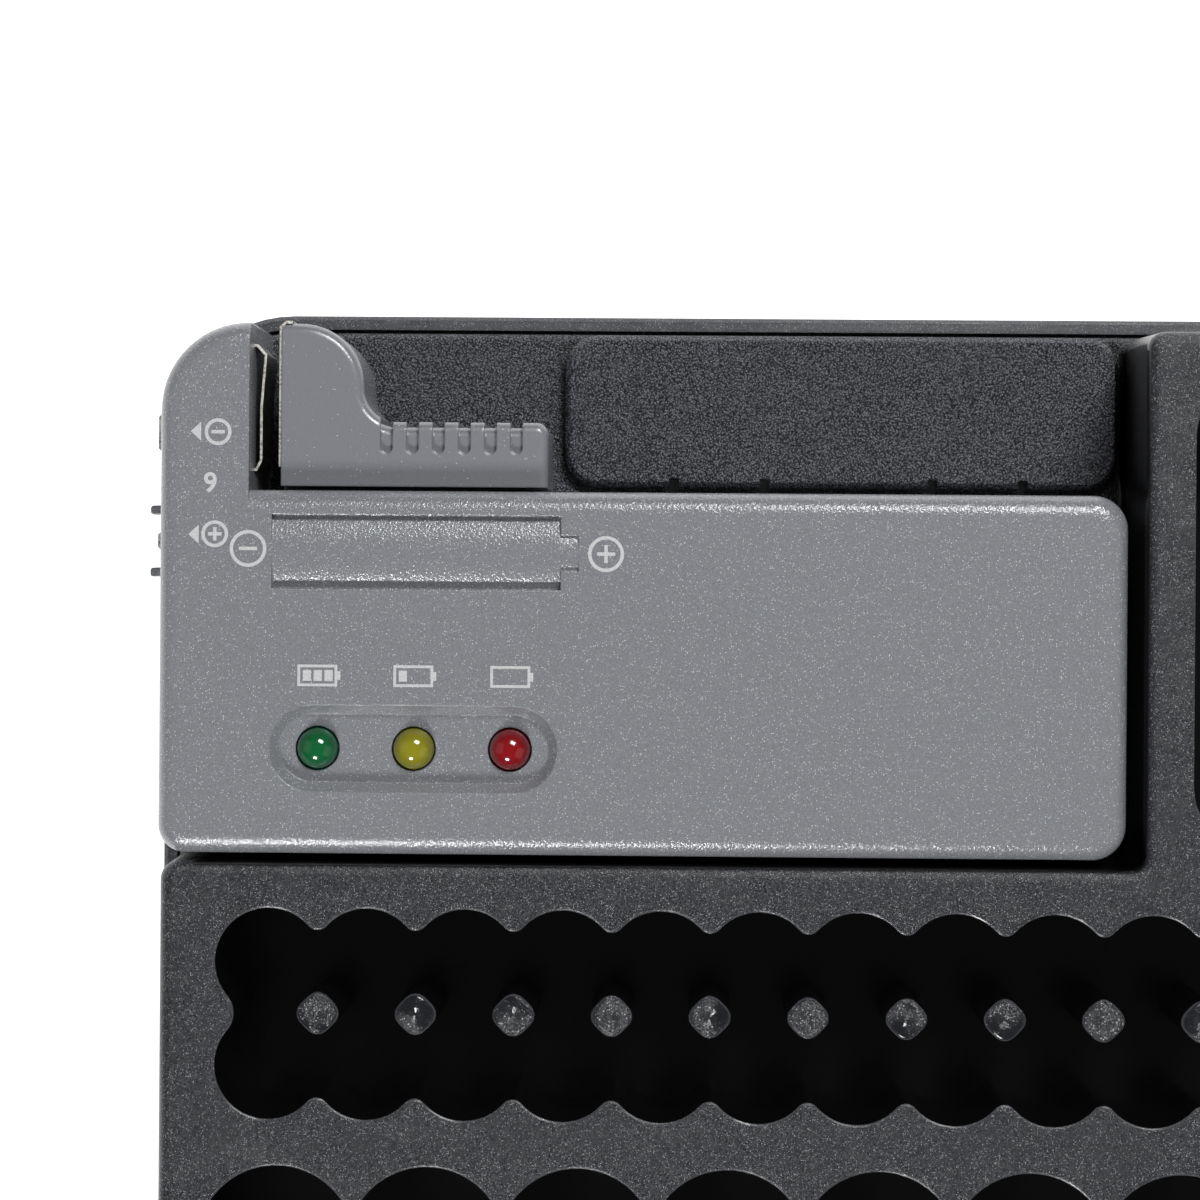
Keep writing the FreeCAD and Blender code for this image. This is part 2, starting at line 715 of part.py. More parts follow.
def upper_shell():
    shell = housing(split_z, face_z, face_z, lambda solid, edges: solid.makeFillet(shell_top_edge, edges))
    shell = shell.cut(prism(housing_outline(shell_wall), split_z, roof_z))
    relief_right = relief_left + relief_length
    panel_right = panel_left + panel_length
    extras = [
        block(relief_left - shell_wall, relief_right + nub_length + shell_wall,
              -(relief_back + relief_width + shell_wall), wall_inside, roof_z - face_backing, roof_z),
        block(panel_left - shell_wall, panel_right + shell_wall,
              -(panel_back + panel_width + shell_wall), -(panel_back - shell_wall), roof_z - face_backing, roof_z),
        block(arm_width, tester_length - shell_wall, wall_inside, shoe_front + slot_gap,
              shoe_top + shoe_gap, shoe_top + shoe_gap + guide_thickness),
    ]
    extras += [upright(x, y, split_z, roof_z, boss_radius) for x, y in case_screws_at]
    extras += [upright(x, y, board_top, roof_z, pillar_radius) for x, y in board_screws_at]
    shell = fuse([shell] + extras)
    cuts = [jaw_slot(), lip_ring(shell_wall / 2, lip_height + lip_gap), relief_cut(), panel_cut()]
    cuts += [upright(x, y, split_z, tester_z + case_screw_length + hole_room, case_screw_radius + seat_gap)
             for x, y in case_screws_at]
    cuts += [upright(x, y, board_top, board_top + screw_bite + hole_room, screw_radius + seat_gap)
             for x, y in board_screws_at]
    cuts += [upright(x, lamp_y, board_top, face_z, lamp_radius + lamp_hole_gap) for x in lamp_xs]
    return shell.cut(cuts + leaf_slots() + stud_windows())


def relief_cut():
    """Pocket round a battery-shaped relief whose rounded back stays level with the face."""
    half = relief_width / 2
    radius = (half ** 2 + relief_depth ** 2) / (2 * relief_depth)
    middle = -(relief_back + half)
    right = relief_left + relief_length
    room = block(relief_left, right, middle - half, middle + half, face_z - relief_depth, face_z)
    barrel = Part.makeCylinder(radius, relief_length, Vector(relief_left, middle, face_z - radius), Vector(1, 0, 0))
    nub_radius = ((nub_width / 2) ** 2 + nub_depth ** 2) / (2 * nub_depth)
    nub_room = block(right, right + nub_length, middle - nub_width / 2, middle + nub_width / 2,
                     face_z - nub_depth, face_z)
    nub = Part.makeCylinder(nub_radius, nub_length, Vector(right, middle, face_z - nub_radius), Vector(1, 0, 0))
    return room.cut(barrel).fuse(nub_room.cut(nub))


def panel_cut():
    """Sunken panel with sloping sides and round ends that holds the three lamps."""
    def stadium(inset):
        radius = panel_width / 2 - inset
        return rectangle(panel_left + inset, panel_left + panel_length - inset,
                         -(panel_back + panel_width - inset), -(panel_back + inset), radius)

    return taper((stadium(panel_slope), face_z - panel_depth), (stadium(0.0), face_z))


def lower_shell():
    shell = housing(tester_z, split_z, tester_z, lambda solid, edges: solid.makeChamfer(shell_bottom_edge, edges))
    shell = shell.cut(prism(housing_outline(shell_wall), floor_z, split_z))
    extras = [
        lip_ring(shell_wall / 2 + lip_gap, lip_height),
        block(arm_width, tester_length - shell_wall, wall_inside, shoe_front + slot_gap,
              shoe_bottom - shoe_gap - guide_thickness, shoe_bottom - shoe_gap),
        upright(anchor_from_left, spring_y, floor_z, spring_z + spring_radius, anchor_radius),
    ]
    extras += [upright(x, y, floor_z, split_z, boss_radius) for x, y in case_screws_at]
    posts = rail_posts_at()
    for x in posts:
        extras.append(block(x, x + rail_hold, rail_y - rail_post_half, rail_y + rail_post_half,
                            floor_z, split_z - rail_post_drop))
    extras += [key_rib(-plus_stud_back + side * key_spacing / 2) for side in (-1, 1)]
    shell = fuse([shell] + extras)
    overrun = rail_overrun + rail_end_gap
    half = sheet + seat_gap
    cuts = [jaw_slot(), block(posts[0] - overrun, posts[-1] + rail_hold + overrun, rail_y - half, rail_y + half,
                              rail_bottom, split_z)]
    for x, y in case_screws_at:
        cuts.append(upright(x, y, tester_z, tester_z + case_head_height + case_head_sink,
                            case_head_radius + case_head_room))
        cuts.append(upright(x, y, tester_z, split_z, case_screw_radius + screw_clearance))
    for i in (0, 1):
        x = catch_first + i * catch_spacing
        half = catch_width / 4 + barb_room
        front = catch_end - tester_y
        cuts.append(block(x - half, x + half, front, front + barb_inset + barb_length + barb_room, tester_z, floor_z))
    return shell.cut(cuts + leaf_slots() + stud_windows())


def key_rib(y):
    """Tapered rib beside the plus contact that keeps the wrong snap stud away from it."""
    root, tip = key_thickness / 2, key_tip / 2
    wire = outline([
        (shell_wall / 2, y - root, 0.0),
        (shell_wall / 2, y + root, 0.0),
        (-key_reach, y + tip, key_tip_corner),
        (-key_reach, y - tip, key_tip_corner),
    ])
    return prism(wire, split_z - key_height, split_z - lip_gap)


def rail_posts_at():
    first, last = arm_width + rail_from_arm, tester_length - rail_from_right - rail_hold
    return [first, (first + last) / 2, last]


# ---------------------------------------------------------------- sliding jaw
def jaw_outline(inset):
    """Plan of the jaw: a tall rounded head at the battery, a low bar behind it for the finger."""
    left, right = jaw_left + inset, jaw_left + jaw_length - inset
    head_back, bar_back = -inset, jaw_front + jaw_bar_depth - inset
    head_x = jaw_left + jaw_head_flat
    radius = jaw_head_radius - inset
    neck = jaw_neck_radius + inset
    head_y = -jaw_head_radius
    neck_y = bar_back + neck
    rise = neck_y - head_y
    neck_x = head_x + math.sqrt((radius + neck) ** 2 - rise ** 2)
    meet = math.degrees(math.atan2(rise, neck_x - head_x))
    corner, face = jaw_end_corner, jaw_face_bevel
    edges = [
        Part.LineSegment(Vector(left, jaw_front, 0), Vector(left, head_back - face, 0)).toShape(),
        Part.LineSegment(Vector(left, head_back - face, 0), Vector(left + face, head_back, 0)).toShape(),
        Part.LineSegment(Vector(left + face, head_back, 0), Vector(head_x, head_back, 0)).toShape(),
        arc(Vector(head_x, head_y, 0), radius, 90, meet),
        arc(Vector(neck_x, neck_y, 0), neck, 180 + meet, 270),
        Part.LineSegment(Vector(neck_x, bar_back, 0), Vector(right - corner, bar_back, 0)).toShape(),
        arc(Vector(right - corner, bar_back - corner, 0), corner, 90, 0),
        Part.LineSegment(Vector(right, bar_back - corner, 0), Vector(right, jaw_front, 0)).toShape(),
        Part.LineSegment(Vector(right, jaw_front, 0), Vector(left, jaw_front, 0)).toShape(),
    ]
    return Part.Wire(edges)


def jaw_block(inset):
    """Jaw body without grips, its top edge rounded except along the long body."""
    top = jaw_top - inset
    solid = prism(jaw_outline(inset), jaw_bottom, top)
    bevel_end = jaw_left + inset + jaw_face_bevel
    edges = edges_at(solid, top, lambda box: box.YMax > jaw_front + 0.01 and box.XMax > bevel_end + 0.01)
    return solid.makeFillet(jaw_edge, edges)


def jaw():
    body = jaw_block(0.0)
    core = jaw_block(grip_depth)
    bar_back = jaw_front + jaw_bar_depth
    grooves = []
    for i in range(grip_count):
        x = jaw_left + grip_first + i * grip_pitch
        half = grip_width / 2
        deep = bar_back - grip_length
        slot = outline([(x - half, deep, half), (x + half, deep, half),
                        (x + half, bar_back + past, 0.0), (x - half, bar_back + past, 0.0)])
        grooves.append(prism(slot, jaw_bottom, jaw_top + past))
    tongue = block(jaw_left, jaw_left + tongue_length, shoe_back, jaw_front,
                   slot_z - tongue_height / 2, slot_z + tongue_height / 2)
    holes = [screw_hole(x, shoe_back, shoe_screw_bite + hole_room, screw_radius + seat_gap) for x in shoe_screws_at]
    return fuse([body.cut(fuse(grooves).cut(core)), tongue]).cut(holes)


def screw_hole(x, y, depth, radius):
    """Round bar along Y at the slot's height: a screw's hole, its shank or its head."""
    return Part.makeCylinder(radius, depth, Vector(x, y, slot_z), Vector(0, 1, 0))


def jaw_shoe():
    """Shoe that runs between the guide ribs inside the body, with a lug for the spring."""
    plate = block(jaw_left, shoe_right, shoe_front, shoe_back, shoe_bottom, shoe_top)
    lug = block(shoe_right - lug_width, shoe_right, shoe_front - lug_depth, shoe_front,
                floor_z + 2 * spring_gap, slot_z - tail_height)
    holes = [screw_hole(x, shoe_front, shoe_thickness, screw_radius + screw_clearance) for x in shoe_screws_at]
    return fuse([plate, lug]).cut(holes)


def jaw_contact():
    """Plated strip: battery face, hook over the head's back corner, tail through the slot."""
    end = jaw_front + jaw_contact_front
    face = strip([(jaw_left + hook_length, 0.0), (jaw_left + jaw_face_bevel, 0.0), (jaw_left, -jaw_face_bevel),
                  (jaw_left, end)], slot_z - jaw_contact_bottom, jaw_top - jaw_contact_top)
    tail = strip([(jaw_left, end + overlap), (jaw_left, shoe_front), (jaw_left + tail_foot, shoe_front)],
                 slot_z - tail_height / 2, slot_z + tail_height / 2)
    return fuse([face, tail])


def wiper():
    """Springy strip under the shoe screws that rubs along the contact rail."""
    bend = shoe_screws_at[-1] + wiper_margin
    turn = bend + wiper_run
    tip = -rail_back + spring_gap
    points = [(jaw_left + tail_foot + wiper_gap, shoe_front), (bend, shoe_front), (turn, shoe_front - wiper_drop),
              (turn - wiper_blade, tip + sheet), (turn - wiper_blade - wiper_tip, tip + 2 * sheet)]
    metal = strip(points, slot_z - tail_height / 2, slot_z + tail_height / 2)
    holes = [screw_hole(x, shoe_front - sheet, sheet, screw_radius + screw_clearance) for x in shoe_screws_at]
    return metal.cut(holes)


def shoe_screws():
    screws = []
    for x in shoe_screws_at:
        start = shoe_front - sheet
        shank = screw_hole(x, start, shoe_thickness + sheet + shoe_screw_bite, screw_radius)
        head = screw_hole(x, start - head_height, head_height, head_radius)
        screws.append(shank.fuse(head).removeSplitter())
    return Part.makeCompound(screws)


def return_spring():
    """Extension spring that pulls the jaw back to the arm."""
    x0 = anchor_from_left + anchor_radius + seat_gap
    x1 = shoe_right - lug_width - seat_gap
    coil = spring_radius - spring_wire
    steps = 8
    points = []
    for i in range(spring_turns * steps + 1):
        turn = 2 * math.pi * i / steps
        x = x0 + spring_wire + (x1 - x0 - 2 * spring_wire) * i / (spring_turns * steps)
        points.append(Vector(x, spring_y + coil * math.cos(turn), spring_z + coil * math.sin(turn)))
    path = Part.makePolygon(points)
    ahead = points[1] - points[0]
    corners = []
    side = ahead.cross(Vector(1, 0, 0)).normalize()
    up = ahead.cross(side).normalize()
    for i in range(5):
        angle = math.pi / 4 + math.pi / 2 * i
        corners.append(points[0] + side * spring_wire * math.cos(angle) + up * spring_wire * math.sin(angle))
    return path.makePipeShell([Part.makePolygon(corners)], True, True, 1)


# ---------------------------------------------------------------- contacts in the housing
plus_stud_back = minus_stud_back + stud_spacing


def leaf_points():
    """Plan of the fixed leaf: in through the arm's wall, bowed towards the jaw, and back in."""
    inside = arm_width - shell_wall - leaf_grip
    front = -bay_depth + leaf_inset
    foot = arm_width + leaf_bow / 4
    shallow = arm_width + leaf_bow * 2 / 3
    return [(inside, -leaf_inset), (foot, -leaf_inset), (arm_width + leaf_bow, -leaf_inset - leaf_bend),
            (shallow, -bay_depth / 2), (shallow, front + leaf_bend), (foot, front), (inside, front)]


def leaf_slots():
    """Two narrow slots in the arm's bay side that grip the ends of the leaf."""
    low, high = slot_z - leaf_height / 2 - seat_gap, slot_z + leaf_height / 2 + seat_gap
    first, last = leaf_points()[0][1], leaf_points()[-1][1]
    spans = [(first - sheet - seat_gap, first + seat_gap), (last - seat_gap, last + sheet + seat_gap)]
    return [block(arm_width - shell_wall - past, arm_width + past, y0, y1, low, high) for y0, y1 in spans]


def leaf_contact():
    low = slot_z - leaf_height / 2
    return strip(leaf_points(), low, low + leaf_height)


def stud_contact(back, width):
    """Bowed contact that a 9 V battery's snap stud presses on, with its two feet in the arm."""
    half = width / 2
    low = split_z - stud_contact_height / 2
    slope = width / 5
    points = [(shell_wall + stud_foot, -back + half), (-stud_contact_reach + slope, -back + half),
              (-stud_contact_reach, -back + half - slope), (-stud_contact_reach, -back - half + slope),
              (-stud_contact_reach + slope, -back - half), (shell_wall + stud_foot, -back - half)]
    return strip(points, low, low + stud_contact_height, -sheet)


def stud_windows():
    low, high = split_z - stud_contact_height / 2 - seat_gap, split_z + stud_contact_height / 2 + seat_gap
    windows = []
    for back, width in ((minus_stud_back, minus_contact_width), (plus_stud_back, plus_contact_width)):
        reach = width / 2 + seat_gap
        windows.append(block(-past, shell_wall + overlap, -back - reach, -back + reach, low, high))
    return windows


def contact_rail():
    posts = rail_posts_at()
    return block(posts[0] - rail_overrun, posts[-1] + rail_hold + rail_overrun, rail_y - sheet, rail_y + sheet,
                 rail_bottom, rail_bottom + rail_height)


# ---------------------------------------------------------------- board and lamps
def lamp(x):
    """Round lamp with a flange on the board, a domed top and two square leads."""
    base = board_top
    shoulder = base + lamp_height - lamp_radius
    lean = lamp_radius * math.sqrt(0.5)
    points = [Vector(0, 0, base), Vector(lamp_flange_radius, 0, base),
              Vector(lamp_flange_radius, 0, base + lamp_flange_height),
              Vector(lamp_radius, 0, base + lamp_flange_height), Vector(lamp_radius, 0, shoulder)]
    tip = Vector(0, 0, shoulder + lamp_radius)
    edges = [Part.LineSegment(a, b).toShape() for a, b in zip(points, points[1:])]
    edges.append(Part.Arc(points[-1], Vector(lean, 0, shoulder + lean), tip).toShape())
    edges.append(Part.LineSegment(tip, points[0]).toShape())
    profile = Part.Wire(edges)
    body = Part.Face(profile).revolve(Vector(0, 0, 0), Vector(0, 0, 1), 360)
    leads = []
    for side in (-1, 1):
        centre = side * lead_pitch / 2
        leads.append(block(centre - lead_radius, centre + lead_radius, -lead_radius, lead_radius,
                           base - lead_length, base + overlap))
    whole = fuse([body] + leads)
    whole.translate(Vector(x, lamp_y, 0))
    return whole


def circuit_board():
    wire = rectangle(board_left, board_left + board_length, -(board_back + board_width), -board_back, board_corner)
    board = prism(wire, board_bottom, board_top)
    cuts = [upright(x, y, board_bottom, board_top, screw_radius + screw_clearance) for x, y in board_screws_at]
    room = lead_radius + lead_gap
    for x in lamp_xs:
        for side in (-1, 1):
            centre = x + side * lead_pitch / 2
            cuts.append(block(centre - room, centre + room, lamp_y - room, lamp_y + room, board_bottom, board_top))
    return board.cut(cuts)


def comparator_chip():
    """Eight-legged chip that compares the loaded voltage with the lamps' thresholds."""
    x = board_screws_at[0][0] + pillar_radius + part_room + chip_length / 2
    y, z = board_screws_at[0][1], board_top
    half = chip_width / 2
    body = block(x - chip_length / 2, x + chip_length / 2, y - half, y + half, z + chip_rise, z + chip_height)
    legs = []
    for i in range(chip_legs):
        for side in (-1, 1):
            centre = x + (i - (chip_legs - 1) / 2) * lead_pitch
            edge = y + side * half
            legs.append(block(centre - lead_radius, centre + lead_radius, edge, edge + side * 2 * lead_radius,
                              z, z + chip_height / 2))
    return fuse([body] + legs)


def axial(x, y, length, radius):
    """Resistor lying on the board along X, its leads bent down to the board."""
    z = board_top + radius + seat_gap
    parts = [Part.makeCylinder(radius, length, Vector(x - length / 2, y, z), Vector(1, 0, 0))]
    for side in (-1, 1):
        near, far = x + side * (length / 2 - lead_radius), x + side * (length / 2 + lead_pitch / 2)
        parts.append(block(near, far, y - lead_radius, y + lead_radius, z - lead_radius, z + lead_radius))
        parts.append(block(far - side * 2 * lead_radius, far, y - lead_radius, y + lead_radius, board_top, z))
    return fuse(parts)


def load_resistor():
    x = board_left + board_length - board_screw_inset - load_length / 2
    return axial(x, -(board_back + load_radius + part_room), load_length, load_radius)


def small_resistors():
    """Two divider resistors: one behind the load resistor, one near the board's front edge."""
    x = board_left + board_length - board_screw_inset - load_length / 2
    back = board_back + 2 * load_radius + 2 * part_room + resistor_radius
    front = board_back + board_width - resistor_radius - part_room
    return Part.makeCompound([
        axial(x, -back, resistor_length, resistor_radius),
        axial(lamp_xs[1], -front, resistor_length, resistor_radius),
    ])


def case_screws():
    screws = []
    for x, y in case_screws_at:
        head_z = tester_z + case_head_sink
        screws.append(upright(x, y, head_z, head_z + case_head_height, case_head_radius).fuse(
            upright(x, y, head_z, tester_z + case_screw_length, case_screw_radius)).removeSplitter())
    return Part.makeCompound(screws)


def board_screws():
    screws = []
    for x, y in board_screws_at:
        screws.append(upright(x, y, board_bottom - head_height, board_bottom, head_radius).fuse(
            upright(x, y, board_bottom - head_height, board_top + screw_bite, screw_radius)).removeSplitter())
    return Part.makeCompound(screws)


def wire(points):
    """Insulated wire between two solder points: straight runs joined by tangent bends."""
    bends = [Vector(*point) for point in points]
    edges = []
    start = bends[0]
    for i in range(1, len(bends) - 1):
        back = (bends[i - 1] - bends[i]).normalize()
        ahead = (bends[i + 1] - bends[i]).normalize()
        half = back.getAngle(ahead) / 2
        cut = wire_bend / math.tan(half)
        middle = bends[i] + (back + ahead).normalize() * (wire_bend / math.sin(half) - wire_bend)
        edges.append(Part.LineSegment(start, bends[i] + back * cut).toShape())
        edges.append(Part.Arc(bends[i] + back * cut, middle, bends[i] + ahead * cut).toShape())
        start = bends[i] + ahead * cut
    edges.append(Part.LineSegment(start, bends[-1]).toShape())
    path = Part.Wire(edges)
    along = (bends[1] - bends[0]).normalize()
    side = along.cross(Vector(0.3, 0.5, 0.8)).normalize()
    up = along.cross(side)
    ring = []
    for i in range(wire_sides + 1):
        angle = 2 * math.pi * i / wire_sides
        ring.append(bends[0] + side * wire_radius * math.cos(angle) + up * wire_radius * math.sin(angle))
    return path.makePipeShell([Part.makePolygon(ring)], True, False)


def inner_wires():
    """Wires from the leaf, the 9 V plus contact and the rail to the board."""
    leaf_end, leaf_y = leaf_points()[-1][0], leaf_points()[-1][1] + sheet / 2
    leaf_z = slot_z + leaf_height / 2 - wire_radius
    corridor = (wall_inside - board_back) / 2 - wire_bend / 2
    drop_x = board_left + wire_bend
    plus_x, plus_y = shell_wall + stud_foot, -plus_stud_back - plus_contact_width / 2 + sheet / 2
    plus_z = split_z - wire_bend
    rail_x, rail_face = rail_posts_at()[1] - rail_hold, rail_y - sheet
    rail_z = rail_bottom + rail_hold
    inner_x = board_left + board_length - board_screw_inset
    return Part.makeCompound([
        wire([(leaf_end, leaf_y, leaf_z), (leaf_end / 2 + wire_radius, leaf_y, leaf_z),
              (leaf_end / 2 + wire_radius, corridor, leaf_z), (drop_x, corridor, leaf_z),
              (drop_x, -board_back - wire_bend, leaf_z), (drop_x, -board_back - wire_bend, board_top)]),
        wire([(plus_x, plus_y, plus_z), (board_left + part_room, plus_y, plus_z),
              (board_left + part_room, lamp_y, plus_z), (board_left + part_room, lamp_y, board_bottom)]),
        wire([(rail_x, rail_face, rail_z), (rail_x, lamp_y, rail_z),
              (inner_x, lamp_y, rail_z), (inner_x, lamp_y, board_bottom)]),
    ])


TESTER_PARTS = {
    "tester_upper_shell": upper_shell,
    "tester_lower_shell": lower_shell,
    "case_screws": case_screws,
    "minus_leaf_contact": leaf_contact,
    "nine_volt_minus_contact": lambda: stud_contact(minus_stud_back, minus_contact_width),
    "nine_volt_plus_contact": lambda: stud_contact(plus_stud_back, plus_contact_width),
    "contact_rail": contact_rail,
    "circuit_board": circuit_board,
    "board_screws": board_screws,
    "green_lamp": lambda: lamp(lamp_xs[0]),
    "yellow_lamp": lambda: lamp(lamp_xs[1]),
    "red_lamp": lambda: lamp(lamp_xs[2]),
    "comparator_chip": comparator_chip,
    "load_resistor": load_resistor,
    "small_resistors": small_resistors,
    "inner_wires": inner_wires,
    "sliding_jaw": jaw,
    "jaw_shoe": jaw_shoe,
    "shoe_screws": shoe_screws,
    "plus_jaw_contact": jaw_contact,
    "rail_wiper": wiper,
    "return_spring": return_spring,
}

if __name__ == "__main__":
    os.makedirs("parts", exist_ok=True)
    made = {"tray": tray()}
    for name, make in TESTER_PARTS.items():
        made[name] = seat(make())
    for name, shape in made.items():
        shape.exportStep("parts/" + name + ".step")
        print(name, shape.isValid(), len(shape.Solids), round(shape.Volume, 1), flush=True)
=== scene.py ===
"""Battery storage tray with a lift-out tester, dressed over its CAD frame.  Metres, +Z up."""

import math

import bmesh
import bpy
from mathutils import Matrix, Vector


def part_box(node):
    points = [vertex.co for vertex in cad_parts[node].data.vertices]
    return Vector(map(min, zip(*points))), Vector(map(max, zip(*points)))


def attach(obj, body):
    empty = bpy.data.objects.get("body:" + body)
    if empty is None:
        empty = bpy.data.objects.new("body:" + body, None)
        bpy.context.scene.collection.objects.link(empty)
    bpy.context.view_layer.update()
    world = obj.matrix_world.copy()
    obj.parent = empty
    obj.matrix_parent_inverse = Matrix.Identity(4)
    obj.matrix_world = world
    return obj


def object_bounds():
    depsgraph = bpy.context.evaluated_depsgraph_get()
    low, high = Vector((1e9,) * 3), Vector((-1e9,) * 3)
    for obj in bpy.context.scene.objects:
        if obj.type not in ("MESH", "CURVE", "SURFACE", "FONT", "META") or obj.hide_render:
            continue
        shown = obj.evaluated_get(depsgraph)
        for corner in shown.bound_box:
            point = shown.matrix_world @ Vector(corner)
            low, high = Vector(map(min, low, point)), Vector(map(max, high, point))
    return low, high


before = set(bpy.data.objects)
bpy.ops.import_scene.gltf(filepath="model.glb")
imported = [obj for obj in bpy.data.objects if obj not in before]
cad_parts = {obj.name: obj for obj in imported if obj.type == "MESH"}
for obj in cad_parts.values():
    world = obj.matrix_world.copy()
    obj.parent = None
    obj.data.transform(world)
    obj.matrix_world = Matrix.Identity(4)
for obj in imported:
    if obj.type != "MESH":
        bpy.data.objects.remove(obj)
cad_low, cad_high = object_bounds()

# ---------------------------------------------------------------------------
# Tray: one injection moulding in black ABS.  The deck and skirt are sanded, the
# recess floor has a fine leather grain, and the wells and the 9 V pocket are
# left as the polished tool made them.
# ---------------------------------------------------------------------------
MM = 0.001
DECK_INSET = 3.1 * MM       # from the flange's edge to the deck's edge
SKIRT_MIDDLE = 4.1 * MM     # from the flange's edge to the middle of the skirt's wall
RIM_BAND = 7.0 * MM         # from the flange's edge to where the wells may start
TURN = (0.5, 0.7, 0.3)      # turns a noise, whose lattice would show as bands on a flat wall
SAND_PER_MM = 6.0           # noise cells per mm in every sanded face
SAND_LOW, SAND_HIGH = 0.34, 0.68    # the part of the noise's range that its tones spread over
RECESS_WIDTH = 113.1 * MM   # the tester's recess, from the deck's left edge
RECESS_DEPTH = 61.7 * MM    # and from its back edge
WALL_FOOT = 0.6 * MM        # the recess's polished walls reach this far over its floor
FLOOR_TOP = 8.0 * MM        # above the recess floor and its pad
FLANGE_TOP = 2.6 * MM
SHARP_DEGREES = 30          # faces that meet at more than this keep their edge

tray_low, tray_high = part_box("tray")
DECK_LEFT = tray_low[0] + DECK_INSET
DECK_BACK = tray_high[1] - DECK_INSET
DECK_TOP = tray_high[2]


def linear(hex_colour):
    """sRGB hex to a linear RGBA tuple."""
    out = []
    for i in (0, 2, 4):
        c = int(hex_colour[i:i + 2], 16) / 255
        out.append(c / 12.92 if c <= 0.04045 else ((c + 0.055) / 1.055) ** 2.4)
    return (*out, 1.0)


def new_material(name):
    mat = bpy.data.materials.new(name)
    mat.use_nodes = True
    mat.node_tree.nodes.clear()
    return mat, mat.node_tree


def put(tree, kind, inputs=None, **settings):
    """
    Adds a node with its settings, sets or links its inputs, and gives its outputs.
    A Mix node blends inputs 2 and 3 for numbers, 4 and 5 for vectors, 6 and 7 for colours.
    """
    node = tree.nodes.new(kind)
    for key, value in settings.items():
        setattr(node, key, value)
    for key, value in (inputs or {}).items():
        if isinstance(value, bpy.types.NodeSocket):
            tree.links.new(value, node.inputs[key])
        else:
            node.inputs[key].default_value = value
    return node.outputs


def band(tree, value, low, high, soft=0.2 * MM):
    """1 between low and high and 0 outside, with soft ends."""
    rise = put(tree, "ShaderNodeMapRange", {0: value, 1: low - soft, 2: low + soft},
               interpolation_type="SMOOTHSTEP")
    fall = put(tree, "ShaderNodeMapRange", {0: value, 1: high + soft, 2: high - soft},
               interpolation_type="SMOOTHSTEP")
    return put(tree, "ShaderNodeMath", {0: rise[0], 1: fall[0]}, operation="MULTIPLY")[0]


def patch(tree, x, y, low, high):
    """1 inside the upright prism over the rectangle from low to high."""
    across = band(tree, x, low[0], high[0])
    along = band(tree, y, low[1], high[1])
    return put(tree, "ShaderNodeMath", {0: across, 1: along}, operation="MULTIPLY")[0]


def specks(tree, place, per_mm, bare_share):
    """Scattered round specks, a few of them strong; bare_share of the cells stay empty."""
    speck_edge, speck_core = 0.5, 0.2   # share of a cell's width
    cells = put(tree, "ShaderNodeTexVoronoi", {"Vector": place, "Scale": per_mm / MM})
    dot = put(tree, "ShaderNodeMapRange", {0: cells["Distance"], 1: speck_edge, 2: speck_core},
              interpolation_type="SMOOTHSTEP")
    luck = put(tree, "ShaderNodeSeparateColor", {0: cells["Color"]})[0]
    strength = put(tree, "ShaderNodeMapRange", {0: luck, 1: bare_share, 2: 1.0},
                   interpolation_type="SMOOTHSTEP")
    strength = put(tree, "ShaderNodeMath", {0: strength[0], 1: 2.0}, operation="POWER")
    return put(tree, "ShaderNodeMath", {0: dot[0], 1: strength[0]}, operation="MULTIPLY")[0]


def dress(node, mat):
    """Gives a CAD node its material and smooth shading across all but its sharp edges."""
    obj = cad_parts[node]
    obj.data.materials.clear()
    obj.data.materials.append(mat)
    obj.data.shade_smooth()
    with bpy.context.temp_override(object=obj, active_object=obj, selected_objects=[obj],
                                   selected_editable_objects=[obj]):
        bpy.ops.object.shade_smooth_by_angle(angle=math.radians(SHARP_DEGREES))


